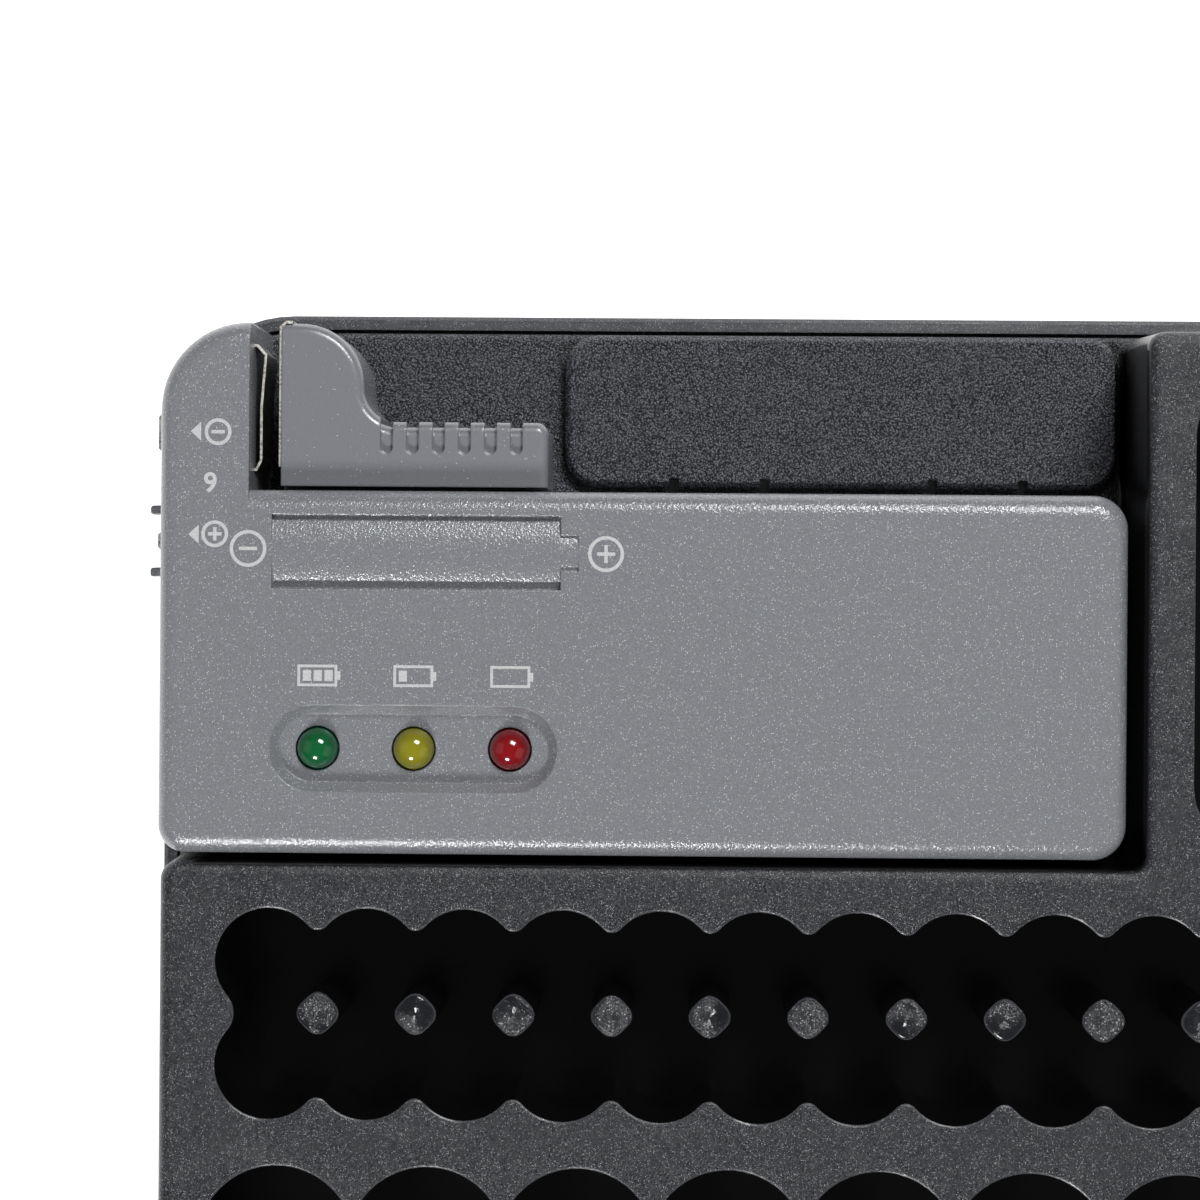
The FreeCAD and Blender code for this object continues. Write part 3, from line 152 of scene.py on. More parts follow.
def black_abs():
    """Sanded black ABS with painted glints, and painted highlights on its rounded edges; its leather
    grain is softer, and its polished wells go black.
    """
    mat, tree = new_material("injection_moulded_black_abs")
    place = put(tree, "ShaderNodeTexCoord")["Object"]
    x, y, z = put(tree, "ShaderNodeSeparateXYZ", {0: place})
    wall_x, wall_y = DECK_LEFT + RECESS_WIDTH, DECK_BACK - RECESS_DEPTH

    # where each finish of the tool lies
    rows = patch(tree, x, y, (tray_low[0] + RIM_BAND, tray_low[1] + RIM_BAND),
                 (tray_high[0] - RIM_BAND, wall_y + WALL_FOOT))
    pocket = patch(tree, x, y, (wall_x, wall_y),
                   (tray_high[0] - RIM_BAND, tray_high[1] - RIM_BAND))
    side = patch(tree, x, y, (wall_x - WALL_FOOT, wall_y),
                 (wall_x + RIM_BAND, tray_high[1] - SKIRT_MIDDLE))
    sunk = band(tree, z, cad_low[2] - MM, DECK_TOP - 0.4 * MM)
    polished = put(tree, "ShaderNodeMath", {0: rows, 1: pocket}, operation="MAXIMUM")[0]
    polished = put(tree, "ShaderNodeMath", {0: polished, 1: side}, operation="MAXIMUM")[0]
    polished = put(tree, "ShaderNodeMath", {0: polished, 1: sunk}, operation="MULTIPLY")[0]
    leathered = patch(tree, x, y, (DECK_LEFT, wall_y), (wall_x, tray_high[1]))
    leathered = put(tree, "ShaderNodeMath", {0: leathered, 1: band(tree, z, FLANGE_TOP, FLOOR_TOP)},
                    operation="MULTIPLY")[0]
    flange = put(tree, "ShaderNodeMapRange", {0: z, 1: FLANGE_TOP + MM, 2: FLANGE_TOP},
                 interpolation_type="SMOOTHSTEP")[0]

    # grain: the sand's pits are about 0.17 mm across and the leather's cells 0.26 mm, a little
    # coarser than real ones, so that they show
    turned = put(tree, "ShaderNodeMapping", {"Vector": place, "Rotation": TURN})[0]
    sand = put(tree, "ShaderNodeTexNoise",
               {"Vector": turned, "Scale": SAND_PER_MM / MM, "Detail": 2.0, "Roughness": 0.7})[0]
    leather = put(tree, "ShaderNodeTexVoronoi",
                  {"Vector": turned, "Scale": 3.9 / MM, "Smoothness": 0.3}, feature="SMOOTH_F1")[0]
    deck_rounding, flange_rounding = 0.6 * MM, 3.0 * MM
    radius = put(tree, "ShaderNodeMix", {0: flange, 2: deck_rounding, 3: flange_rounding},
                 data_type="FLOAT")[0]
    edge = put(tree, "ShaderNodeBevel", {"Radius": radius}, samples=8)[0]
    flat = put(tree, "ShaderNodeNewGeometry")["True Normal"]
    turn = put(tree, "ShaderNodeVectorMath", {0: edge, 1: flat}, operation="DOT_PRODUCT")["Value"]
    rim_starts, rim_full = 0.98, 0.86   # cosine of the turn from the flat face
    rim = put(tree, "ShaderNodeMapRange", {0: turn, 1: rim_starts, 2: rim_full},
              interpolation_type="SMOOTHSTEP")[0]
    plain = put(tree, "ShaderNodeMath", {0: 1.0, 1: rim}, operation="SUBTRACT")[0]
    height = put(tree, "ShaderNodeMath", {0: sand, 1: plain}, operation="MULTIPLY")[0]
    sink_depth, sand_depth, leather_depth, ripple_depth = 0.5 * MM, 0.09 * MM, 0.15 * MM, 0.03 * MM
    sink = put(tree, "ShaderNodeTexNoise", {"Vector": turned, "Scale": 0.16 / MM, "Detail": 1.0})[0]
    grain = put(tree, "ShaderNodeBump", {"Height": sink, "Distance": sink_depth, "Normal": edge})[0]
    grain = put(tree, "ShaderNodeBump", {"Height": height, "Distance": sand_depth, "Normal": grain})[0]
    height = put(tree, "ShaderNodeMath", {0: leather, 1: leathered}, operation="MULTIPLY")[0]
    grain = put(tree, "ShaderNodeBump", {"Height": height, "Distance": leather_depth, "Normal": grain})[0]
    ripple = put(tree, "ShaderNodeTexNoise", {"Vector": turned, "Scale": 0.35 / MM, "Detail": 1.0})[0]
    ripple = put(tree, "ShaderNodeBump", {"Height": ripple, "Distance": ripple_depth})[0]
    normal = put(tree, "ShaderNodeMix", {0: polished, 4: grain, 5: ripple}, data_type="VECTOR")[1]

    # colour: grain, painted glints of 0.13 mm, painted highlights on the rounded edges, a paler flange,
    # and painted shade in the corners of the floor
    high = put(tree, "ShaderNodeMapRange", {0: sand, 1: SAND_LOW, 2: SAND_HIGH},
               interpolation_type="SMOOTHSTEP")[0]
    deck = put(tree, "ShaderNodeMix", {0: high, 6: linear("0e1013"), 7: linear("313338")},
               data_type="RGBA")[2]
    # painted glints: pale specks in the deck's colour stand in for the lamps glinting off the sanded
    # grain
    painted_deck_glint = specks(tree, turned, per_mm=8.0, bare_share=0.66)
    deck = put(tree, "ShaderNodeMix", {0: painted_deck_glint, 6: deck, 7: linear("c2c4c7")},
               data_type="RGBA")[2]
    low = put(tree, "ShaderNodeMapRange", {0: leather, 1: 0.15, 2: 0.6},
              interpolation_type="SMOOTHSTEP")[0]
    hide = put(tree, "ShaderNodeMix", {0: low, 6: linear("6f727a"), 7: linear("1a1c21")},
               data_type="RGBA")[2]
    corner = put(tree, "ShaderNodeAmbientOcclusion", {"Distance": 3.0 * MM},
                 samples=6, only_local=True)["AO"]
    corner = put(tree, "ShaderNodeMapRange", {0: corner, 1: 0.55, 2: 0.95},
                 interpolation_type="SMOOTHSTEP")[0]
    hide = put(tree, "ShaderNodeMix", {0: corner, 6: linear("060607"), 7: hide},
               data_type="RGBA")[2]
    colour = put(tree, "ShaderNodeMix", {0: leathered, 6: deck, 7: hide}, data_type="RGBA")[2]
    # painted highlight: the rounded edges are lightened as if they caught the lamps, and the flange is
    # paler all over
    paling_share = 0.3
    edge_highlight_and_pale_flange = put(tree, "ShaderNodeMath", {0: rim, 1: flange}, operation="MAXIMUM")[0]
    edge_highlight_and_pale_flange = put(tree, "ShaderNodeMath", {0: edge_highlight_and_pale_flange, 1: paling_share}, operation="MULTIPLY")[0]
    colour = put(tree, "ShaderNodeMix", {0: edge_highlight_and_pale_flange, 6: colour, 7: linear("6d7074")},
                 data_type="RGBA")[2]
    colour = put(tree, "ShaderNodeMix", {0: polished, 6: colour, 7: linear("060607")},
                 data_type="RGBA")[2]
    rough = put(tree, "ShaderNodeMix", {0: sand, 2: 0.20, 3: 0.34}, data_type="FLOAT")[0]
    rough = put(tree, "ShaderNodeMix", {0: rim, 2: rough, 3: 0.16}, data_type="FLOAT")[0]
    rough = put(tree, "ShaderNodeMix", {0: polished, 2: rough, 3: 0.22}, data_type="FLOAT")[0]
    shader = put(tree, "ShaderNodeBsdfPrincipled",
                 {"Base Color": colour, "Roughness": rough, "Normal": normal, "IOR": 1.5})[0]
    put(tree, "ShaderNodeOutputMaterial", {"Surface": shader})
    return mat


dress("tray", black_abs())

# ---------------------------------------------------------------------------
# Tester housing and jaw: grey ABS with fine mica, moulded in two shells that
# screws join from below.  The jaw is the same plastic from a smoother tool.
# ---------------------------------------------------------------------------


def mica_abs(name, low_tone, high_tone, bare_share, grain_depth, rough):
    """Grey ABS; 0.15 mm mica gives pale flecks, and the grain breaks up the light along edges."""
    mat, tree = new_material(name)
    place = put(tree, "ShaderNodeTexCoord")["Object"]
    turned = put(tree, "ShaderNodeMapping", {"Vector": place, "Rotation": TURN})[0]
    sand = put(tree, "ShaderNodeTexNoise",
               {"Vector": turned, "Scale": SAND_PER_MM / MM, "Detail": 2.0, "Roughness": 0.7})[0]
    pebble = put(tree, "ShaderNodeTexNoise", {"Vector": turned, "Scale": 3.0 / MM, "Detail": 1.0})[0]
    edge = put(tree, "ShaderNodeBevel", {"Radius": 0.35 * MM}, samples=8)[0]
    normal = put(tree, "ShaderNodeBump", {"Height": pebble, "Distance": grain_depth, "Normal": edge})[0]
    normal = put(tree, "ShaderNodeBump",
                 {"Height": sand, "Distance": grain_depth / 3, "Normal": normal})[0]
    high = put(tree, "ShaderNodeMapRange", {0: sand, 1: SAND_LOW, 2: SAND_HIGH},
               interpolation_type="SMOOTHSTEP")[0]
    colour = put(tree, "ShaderNodeMix", {0: high, 6: linear(low_tone), 7: linear(high_tone)},
                 data_type="RGBA")[2]
    fleck = specks(tree, turned, per_mm=6.5, bare_share=bare_share)
    colour = put(tree, "ShaderNodeMix", {0: fleck, 6: colour, 7: linear("dcdddf")}, data_type="RGBA")[2]
    rough = put(tree, "ShaderNodeMix", {0: pebble, 2: rough, 3: rough + 0.08}, data_type="FLOAT")[0]
    shader = put(tree, "ShaderNodeBsdfPrincipled",
                 {"Base Color": colour, "Roughness": rough, "Normal": normal, "IOR": 1.62})[0]
    put(tree, "ShaderNodeOutputMaterial", {"Surface": shader})
    return mat


housing_abs = mica_abs("moulded_mica_grey_abs", "707276", "838589",
                       bare_share=0.75, grain_depth=0.065 * MM, rough=0.15)
dress("tester_upper_shell", housing_abs)
dress("tester_lower_shell", housing_abs)
dress("sliding_jaw", mica_abs("smooth_mica_grey_abs", "74767b", "797b7f",
                              bare_share=0.97, grain_depth=0.02 * MM, rough=0.2))

# ---------------------------------------------------------------------------
# Post tops: each post between four wells ends in a rounded cushion with a cone
# turned into its middle.  Same moulding as the tray, glossy from the tool.
# ---------------------------------------------------------------------------
POST_TOP = 27.8             # mm, flat top of the posts
# name, count, pitch, the row's Y and half a top's width, in mm
POST_ROWS = (("aaa_post_tops", 14, 11.3, 28.2, 2.42), ("aa_post_tops", 9, 17.33, -7.43, 3.7))
# share of the reach and height in mm, from the foot up over the cushion and down into the cone
POST_PROFILE = ((1.0, -0.8), (1.0, -0.05), (0.99, 0.12), (0.97, 0.25), (0.94, 0.35),
                (0.9, 0.43), (0.85, 0.49), (0.78, 0.53), (0.7, 0.54), (0.6, 0.53),
                (0.5, 0.5), (0.4, 0.44), (0.3, 0.35), (0.2, 0.24), (0.1, 0.14))
POST_MIDDLE = 0.04          # mm, lowest point of the cone
POST_STEPS = 64             # corners round a cushion
SQUARENESS = 0.1            # how far the cushion's sides are drawn in between its four corners


def post_top_mesh(name, reach):
    """One cushion about the origin; reach is its half width in mm."""
    shape = bmesh.new()
    rings = []
    for share, z in POST_PROFILE:
        ring = []
        for i in range(POST_STEPS):
            angle = 2 * math.pi * i / POST_STEPS
            radius = reach * share * (1 - SQUARENESS * share * (1 - math.cos(4 * angle)) / 2)
            x, y = radius * math.cos(angle), radius * math.sin(angle)
            ring.append(shape.verts.new((x * MM, y * MM, z * MM)))
        rings.append(ring)
    for below, above in zip(rings, rings[1:]):
        for i in range(POST_STEPS):
            j = (i + 1) % POST_STEPS
            shape.faces.new((below[i], below[j], above[j], above[i]))
    middle = shape.verts.new((0, 0, POST_MIDDLE * MM))
    for i in range(POST_STEPS):
        shape.faces.new((rings[-1][i], rings[-1][(i + 1) % POST_STEPS], middle))
    shape.faces.new(list(reversed(rings[0])))
    mesh = bpy.data.meshes.new(name)
    shape.to_mesh(mesh)
    shape.free()
    mesh.shade_smooth()
    return mesh


def link_object(name, mesh):
    obj = bpy.data.objects.new(name, mesh)
    bpy.context.scene.collection.objects.link(obj)
    return obj


def row_tree(mat):
    """Repeats one object along X; sizes that differ by 1.5 % keep the copies from looking stamped."""
    smallest, largest = 0.985, 1.015
    tree = bpy.data.node_groups.new("row_of_posts", "GeometryNodeTree")
    tree.interface.new_socket("Geometry", in_out="OUTPUT", socket_type="NodeSocketGeometry")
    kinds = (("Piece", "Object"), ("Count", "Int"), ("Pitch", "Float"), ("Start", "Vector"),
             ("Seed", "Int"))
    for label, kind in kinds:
        tree.interface.new_socket(label, in_out="INPUT", socket_type="NodeSocket" + kind)
    given = put(tree, "NodeGroupInput")
    step = put(tree, "ShaderNodeCombineXYZ", {0: given["Pitch"]})[0]
    line = put(tree, "GeometryNodeMeshLine",
               {"Count": given["Count"], "Start Location": given["Start"], "Offset": step})
    piece = put(tree, "GeometryNodeObjectInfo", {"Object": given["Piece"]})
    size = put(tree, "FunctionNodeRandomValue", {2: smallest, 3: largest, "Seed": given["Seed"]},
               data_type="FLOAT")
    copies = put(tree, "GeometryNodeInstanceOnPoints",
                 {"Points": line[0], "Instance": piece["Geometry"], "Scale": size[1]})
    real = put(tree, "GeometryNodeRealizeInstances", {0: copies[0]})
    finish = put(tree, "GeometryNodeSetMaterial", {"Geometry": real[0], "Material": mat})
    put(tree, "NodeGroupOutput", {0: finish[0]})
    return tree


def row_of(name, tree, **values):
    """One mesh object made by the tree from its named inputs."""
    holder = link_object(name, bpy.data.meshes.new(name))
    modifier = holder.modifiers.new("copies", "NODES")
    modifier.node_group = tree
    ids = {item.name: item.identifier for item in tree.interface.items_tree if item.in_out == "INPUT"}
    for label, value in values.items():
        modifier[ids[label]] = value
    bpy.context.view_layer.update()
    depsgraph = bpy.context.evaluated_depsgraph_get()
    made = bpy.data.meshes.new_from_object(holder.evaluated_get(depsgraph))
    holder.modifiers.clear()
    holder.data = made
    return holder


def polished_abs():
    """Polished black ABS mirrors the lamps; wear leaves some tops pitted and paler, with painted glints
    on them, and painted highlights lighten the sloping rims and sides.
    """
    mat, tree = new_material("polished_black_abs")
    place = put(tree, "ShaderNodeTexCoord")["Object"]
    wear = put(tree, "ShaderNodeTexNoise", {"Vector": place, "Scale": 0.22 / MM, "Detail": 2.0})[0]
    wear = put(tree, "ShaderNodeMapRange", {0: wear, 1: 0.36, 2: 0.56},
               interpolation_type="SMOOTHSTEP")[0]
    pits = put(tree, "ShaderNodeTexNoise",
               {"Vector": place, "Scale": 3.6 / MM, "Detail": 2.0, "Roughness": 0.7})[0]
    height = put(tree, "ShaderNodeMath", {0: pits, 1: wear}, operation="MULTIPLY")[0]
    normal = put(tree, "ShaderNodeBump", {"Height": height, "Distance": 0.2 * MM})[0]
    colour = put(tree, "ShaderNodeMix", {0: wear, 6: linear("1c1d20"), 7: linear("2c2d30")},
                 data_type="RGBA")[2]
    # painted highlight: the sloping rim and sides of each top are lightened as if they caught the lamps
    upright = put(tree, "ShaderNodeSeparateXYZ", {0: put(tree, "ShaderNodeNewGeometry")["Normal"]})["Z"]
    side = put(tree, "ShaderNodeMapRange", {0: upright, 1: 0.9, 2: 0.5},
               interpolation_type="SMOOTHSTEP")[0]
    colour = put(tree, "ShaderNodeMix", {0: side, 6: colour, 7: linear("4c4e52")},
                 data_type="RGBA")[2]
    # painted glints: pale specks on the worn tops stand in for the lamps glinting in their pits
    painted_top_glint = specks(tree, place, per_mm=4.5, bare_share=0.55)
    painted_top_glint = put(tree, "ShaderNodeMath", {0: painted_top_glint, 1: wear}, operation="MULTIPLY")[0]
    colour = put(tree, "ShaderNodeMix", {0: painted_top_glint, 6: colour, 7: linear("b4b6b9")},
                 data_type="RGBA")[2]
    rough = put(tree, "ShaderNodeMix", {0: pits, 2: 0.08, 3: 0.20}, data_type="FLOAT")[0]
    shader = put(tree, "ShaderNodeBsdfPrincipled",
                 {"Base Color": colour, "Roughness": rough, "Normal": normal, "IOR": 1.5})[0]
    put(tree, "ShaderNodeOutputMaterial", {"Surface": shader})
    return mat


post_tree = row_tree(polished_abs())
for row_name, count, pitch, row_y, reach in POST_ROWS:
    template = link_object(row_name + "_template", post_top_mesh(row_name + "_template", reach))
    tops = row_of(row_name, post_tree, Piece=template, Count=count, Pitch=pitch * MM, Seed=4,
                  Start=(-(count - 1) / 2 * pitch * MM, row_y * MM, POST_TOP * MM))
    bpy.data.objects.remove(template)
    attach(tops, "tray")

# ---------------------------------------------------------------------------
# Printed marks: pale ink, pad printed on the tester's face.  Plus and minus in
# rings, arrows at the 9 V contacts, a plain 9, and three battery gauges.
# ---------------------------------------------------------------------------
INK_LIFT = 0.02             # mm, above the face
INK_LINE = 0.4              # mm, width of a printed line
FACE_TOP = 29.0             # mm

# the marks' places are mm from the tester's back left corner
shell_low, shell_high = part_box("tester_upper_shell")
TESTER_LEFT = shell_low[0] / MM
TESTER_BACK = shell_high[1] / MM


def ink_polygon(shape, points):
    """A flat printed patch."""
    height = (FACE_TOP + INK_LIFT) * MM
    corners = [shape.verts.new(((TESTER_LEFT + x) * MM, (TESTER_BACK + y) * MM, height))
               for x, y in points]
    shape.faces.new(corners)


def ink_bar(shape, x0, x1, y0, y1):
    ink_polygon(shape, ((x0, y0), (x1, y0), (x1, y1), (x0, y1)))


def ink_ring(shape, x, y, outer, inner):
    steps = 60
    turns = [2 * math.pi * i / steps for i in range(steps + 1)]
    for a, b in zip(turns, turns[1:]):
        ink_polygon(shape, [(x + r * math.cos(t), y + r * math.sin(t))
                            for r, t in ((inner, a), (outer, a), (outer, b), (inner, b))])


def ink_sign(shape, x, y, radius, plus):
    """Plus or minus in a ring."""
    half, line = radius / 2, INK_LINE / 2
    ink_ring(shape, x, y, radius, radius - INK_LINE)
    ink_bar(shape, x - half, x + half, y - line, y + line)
    if plus:
        ink_bar(shape, x - line, x + line, y + line, y + half)
        ink_bar(shape, x - line, x + line, y - half, y - line)


def ink_arrow(shape, x, y):
    """A solid arrowhead that points left."""
    half_width, half_height = 0.6, 1.1
    ink_polygon(shape, ((x - half_width, y), (x + half_width, y - half_height),
                        (x + half_width, y + half_height)))


def numeral(text, x, y, height):
    """A plain numeral in Blender's own lettering, centred on x, y."""
    capital_share, boldness = 0.73, 0.07
    curve = bpy.data.curves.new("numeral", "FONT")
    curve.body, curve.size, curve.offset = text, height / capital_share * MM, boldness * MM
    curve.align_x, curve.align_y = "CENTER", "CENTER"
    drawn = link_object("numeral", curve)
    bpy.context.view_layer.update()
    depsgraph = bpy.context.evaluated_depsgraph_get()
    mesh = bpy.data.meshes.new_from_object(drawn.evaluated_get(depsgraph))
    bpy.data.objects.remove(drawn)
    where = ((TESTER_LEFT + x) * MM, (TESTER_BACK + y) * MM, (FACE_TOP + INK_LIFT) * MM)
    mesh.transform(Matrix.Translation(where))
    return mesh


def ink_gauge(shape, x, y, bars):
    """Battery outline with 0 to 3 bars."""
    half, rise, line = 2.3, 1.25, INK_LINE * 0.8
    knob_reach, knob_half = 0.35, 0.5
    bar, gap = 0.95, 0.3
    ink_bar(shape, x - half, x + half, y + rise - line, y + rise)
    ink_bar(shape, x - half, x + half, y - rise, y - rise + line)
    ink_bar(shape, x - half, x - half + line, y - rise + line, y + rise - line)
    ink_bar(shape, x + half - line, x + half, y - rise + line, y + rise - line)
    ink_bar(shape, x + half, x + half + knob_reach, y - knob_half, y + knob_half)
    for i in range(bars):
        left = x - half + line + gap + i * (bar + gap)
        ink_bar(shape, left, left + bar, y - rise + line + gap, y + rise - line - gap)


def pad_ink():
    """Matt pale ink; the sanded face shows through it as specks of about 0.2 mm."""
    mat, tree = new_material("pad_printing_ink")
    place = put(tree, "ShaderNodeTexCoord")["Object"]
    speck = put(tree, "ShaderNodeTexNoise",
                {"Vector": place, "Scale": 5.0 / MM, "Detail": 2.0, "Roughness": 0.7})[0]
    colour = put(tree, "ShaderNodeMix", {0: speck, 6: linear("8a8c8f"), 7: linear("dcdddd")},
                 data_type="RGBA")[2]
    rough = put(tree, "ShaderNodeMix", {0: speck, 2: 0.5, 3: 0.7}, data_type="FLOAT")[0]
    normal = put(tree, "ShaderNodeBump", {"Height": speck, "Distance": 0.03 * MM})[0]
    shader = put(tree, "ShaderNodeBsdfPrincipled",
                 {"Base Color": colour, "Roughness": rough, "Normal": normal})[0]
    put(tree, "ShaderNodeOutputMaterial", {"Surface": shader})
    return mat


def printed_marks():
    shape = bmesh.new()
    # the battery-shaped relief has a sign at each end, and the 9 V contacts have smaller ones
    ink_sign(shape, 10.4, -26.15, radius=2.12, plus=False)
    ink_sign(shape, 51.6, -26.5, radius=2.07, plus=True)
    ink_sign(shape, 6.85, -12.75, radius=1.55, plus=False)
    ink_sign(shape, 6.55, -24.5, radius=1.55, plus=True)
    ink_arrow(shape, 4.3, -12.7)
    ink_arrow(shape, 4.1, -24.55)
    shape.from_mesh(numeral("9", 6.0, -18.7, height=2.3))
    gauge_line = -40.7
    for x, bars in ((18.5, 3), (29.55, 1), (40.7, 0)):
        ink_gauge(shape, x, gauge_line, bars)
    mesh = bpy.data.meshes.new("printed_marks")
    shape.to_mesh(mesh)
    shape.free()
    mesh.materials.append(pad_ink())
    marks = link_object("printed_marks", mesh)
    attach(marks, "tester")


printed_marks()

# ---------------------------------------------------------------------------
# Lamps: three 5 mm lamps of tinted epoxy, cast round a chip and its two leads.
# They stand on the board and reach up through the holes in the face.
# ---------------------------------------------------------------------------


def cast_epoxy(name, shaded_rim_tone, dome_tone):
    """Glossy tinted epoxy, with painted shade deepening its colour at the rim, where the dome turns away
    from the lamps.
    """
    mat, tree = new_material(name)
    place = put(tree, "ShaderNodeTexCoord")["Object"]
    upright = put(tree, "ShaderNodeSeparateXYZ", {0: put(tree, "ShaderNodeNewGeometry")["Normal"]})["Z"]
    dome = put(tree, "ShaderNodeMapRange", {0: upright, 1: 0.3, 2: 1.0},
               interpolation_type="SMOOTHSTEP")[0]
    swirl = put(tree, "ShaderNodeTexNoise", {"Vector": place, "Scale": 0.6 / MM, "Detail": 2.0})[0]
    # painted shade: the colour deepens from the dome towards the rim as its face turns from the lamps
    colour = put(tree, "ShaderNodeMix", {0: dome, 6: linear(shaded_rim_tone), 7: linear(dome_tone)},
                 data_type="RGBA")[2]
    rough = put(tree, "ShaderNodeMix", {0: swirl, 2: 0.08, 3: 0.18}, data_type="FLOAT")[0]
    shader = put(tree, "ShaderNodeBsdfPrincipled",
                 {"Base Color": colour, "Roughness": rough, "IOR": 1.55, "Coat Weight": 0.6,
                  "Coat Roughness": 0.05, "Subsurface Weight": 0.25,
                  "Subsurface Radius": (MM, MM, MM)})[0]
    put(tree, "ShaderNodeOutputMaterial", {"Surface": shader})
    return mat


# each rim tone is the same tint with painted shade
for lamp, shaded_rim_tone, dome_tone in (("green_lamp", "05482a", "0a5f31"),
                                  ("yellow_lamp", "6a670d", "8a861a"),
                                  ("red_lamp", "5f040b", "870c14")):
    dress(lamp, cast_epoxy("cast_epoxy_" + lamp, shaded_rim_tone, dome_tone))

# ---------------------------------------------------------------------------
# Contacts, screws and spring: strip and wire, plated after they were cut and
# bent.  The contacts clip into slots of the shells; only the wiper is brass.
# ---------------------------------------------------------------------------


def drawn_metal(name, tone, tarnish, streak_axis):
    """Strip or wire: fine streaks along one axis, mirror-like faces and dull sheared edges."""
    mat, tree = new_material(name)
    place = put(tree, "ShaderNodeTexCoord")["Object"]
    along_streak = 0.08
    stretch = [1.0, 1.0, 1.0]
    stretch[streak_axis] = along_streak
    drawn = put(tree, "ShaderNodeMapping", {"Vector": place, "Scale": stretch})[0]
    streak = put(tree, "ShaderNodeTexNoise", {"Vector": drawn, "Scale": 6.0 / MM, "Detail": 3.0})[0]
    stain = put(tree, "ShaderNodeTexNoise", {"Vector": place, "Scale": 0.5 / MM, "Detail": 4.0})[0]
    stain = put(tree, "ShaderNodeMapRange", {0: stain, 1: 0.52, 2: 0.72},
                interpolation_type="SMOOTHSTEP")[0]
    burr = put(tree, "ShaderNodeTexNoise", {"Vector": place, "Scale": 3.0 / MM, "Detail": 2.0})[0]
    burr = put(tree, "ShaderNodeMapRange", {0: burr, 1: 0.45, 2: 0.7},
               interpolation_type="SMOOTHSTEP")[0]
    colour = put(tree, "ShaderNodeMix", {0: stain, 6: linear(tone), 7: linear(tarnish)},
                 data_type="RGBA")[2]
    colour = put(tree, "ShaderNodeMix", {0: burr, 6: colour, 7: linear("a39d91")}, data_type="RGBA")[2]
    upright = put(tree, "ShaderNodeSeparateXYZ", {0: put(tree, "ShaderNodeNewGeometry")["Normal"]})["Z"]
    sheared = put(tree, "ShaderNodeMapRange", {0: upright, 1: 0.5, 2: 0.9},
                  interpolation_type="SMOOTHSTEP")[0]
    bright = put(tree, "ShaderNodeMix", {0: streak, 2: 0.12, 3: 0.26}, data_type="FLOAT")[0]
    rough = put(tree, "ShaderNodeMix", {0: sheared, 2: bright, 3: 0.58}, data_type="FLOAT")[0]
    edge = put(tree, "ShaderNodeBevel", {"Radius": 0.08 * MM}, samples=8)[0]
    normal = put(tree, "ShaderNodeBump", {"Height": streak, "Distance": 0.02 * MM, "Normal": edge})[0]
    shader = put(tree, "ShaderNodeBsdfPrincipled",
                 {"Base Color": colour, "Metallic": 1.0, "Roughness": rough, "Normal": normal})[0]
    put(tree, "ShaderNodeOutputMaterial", {"Surface": shader})
    return mat


nickel = drawn_metal("nickel_plated_strip", tone="e9e7e2", tarnish="c4beb0", streak_axis=2)
for node in ("minus_leaf_contact", "nine_volt_minus_contact", "nine_volt_plus_contact",
             "plus_jaw_contact", "contact_rail"):
    dress(node, nickel)
dress("rail_wiper", drawn_metal("spring_brass", tone="d9b469", tarnish="9c7a3c", streak_axis=0))
zinc = drawn_metal("zinc_plated_steel", tone="b9bbbd", tarnish="8c8d8e", streak_axis=0)
for node in ("case_screws", "board_screws", "shoe_screws", "return_spring"):
    dress(node, zinc)

# ---------------------------------------------------------------------------
# Inner pieces: board, chip, resistors, wires and shoe, inside the closed
# housing.  Pressed laminate, moulded resin, lacquer and PVC.
# ---------------------------------------------------------------------------


def inner_finish(name, tone_a, tone_b, per_mm, rough):
    """Plain moulded or dipped finish with a slight mottle of per_mm spots on each mm."""
    mat, tree = new_material(name)
    place = put(tree, "ShaderNodeTexCoord")["Object"]
    mottle = put(tree, "ShaderNodeTexNoise", {"Vector": place, "Scale": per_mm / MM, "Detail": 3.0})[0]
    colour = put(tree, "ShaderNodeMix", {0: mottle, 6: linear(tone_a), 7: linear(tone_b)},
                 data_type="RGBA")[2]
    rough = put(tree, "ShaderNodeMix", {0: mottle, 2: rough, 3: rough + 0.12}, data_type="FLOAT")[0]
    edge = put(tree, "ShaderNodeBevel", {"Radius": 0.15 * MM}, samples=8)[0]
    normal = put(tree, "ShaderNodeBump", {"Height": mottle, "Distance": 0.03 * MM, "Normal": edge})[0]
    shader = put(tree, "ShaderNodeBsdfPrincipled",
                 {"Base Color": colour, "Roughness": rough, "Normal": normal})[0]
    put(tree, "ShaderNodeOutputMaterial", {"Surface": shader})
    return mat


dress("circuit_board", inner_finish("phenolic_laminate", "7a5a2e", "94713f", per_mm=1.5, rough=0.45))
dress("comparator_chip", inner_finish("moulded_epoxy_black", "161617", "202022", per_mm=4.0, rough=0.5))
dress("load_resistor", inner_finish("blue_grey_lacquer", "7f93a0", "93a6b2", per_mm=2.0, rough=0.4))
dress("small_resistors", inner_finish("tan_lacquer", "b08d5e", "c29d6b", per_mm=2.0, rough=0.35))
dress("inner_wires", inner_finish("red_pvc", "7d1712", "8f2019", per_mm=1.0, rough=0.35))
dress("jaw_shoe", inner_finish("natural_acetal", "cfcabb", "dbd6c8", per_mm=0.6, rough=0.35))

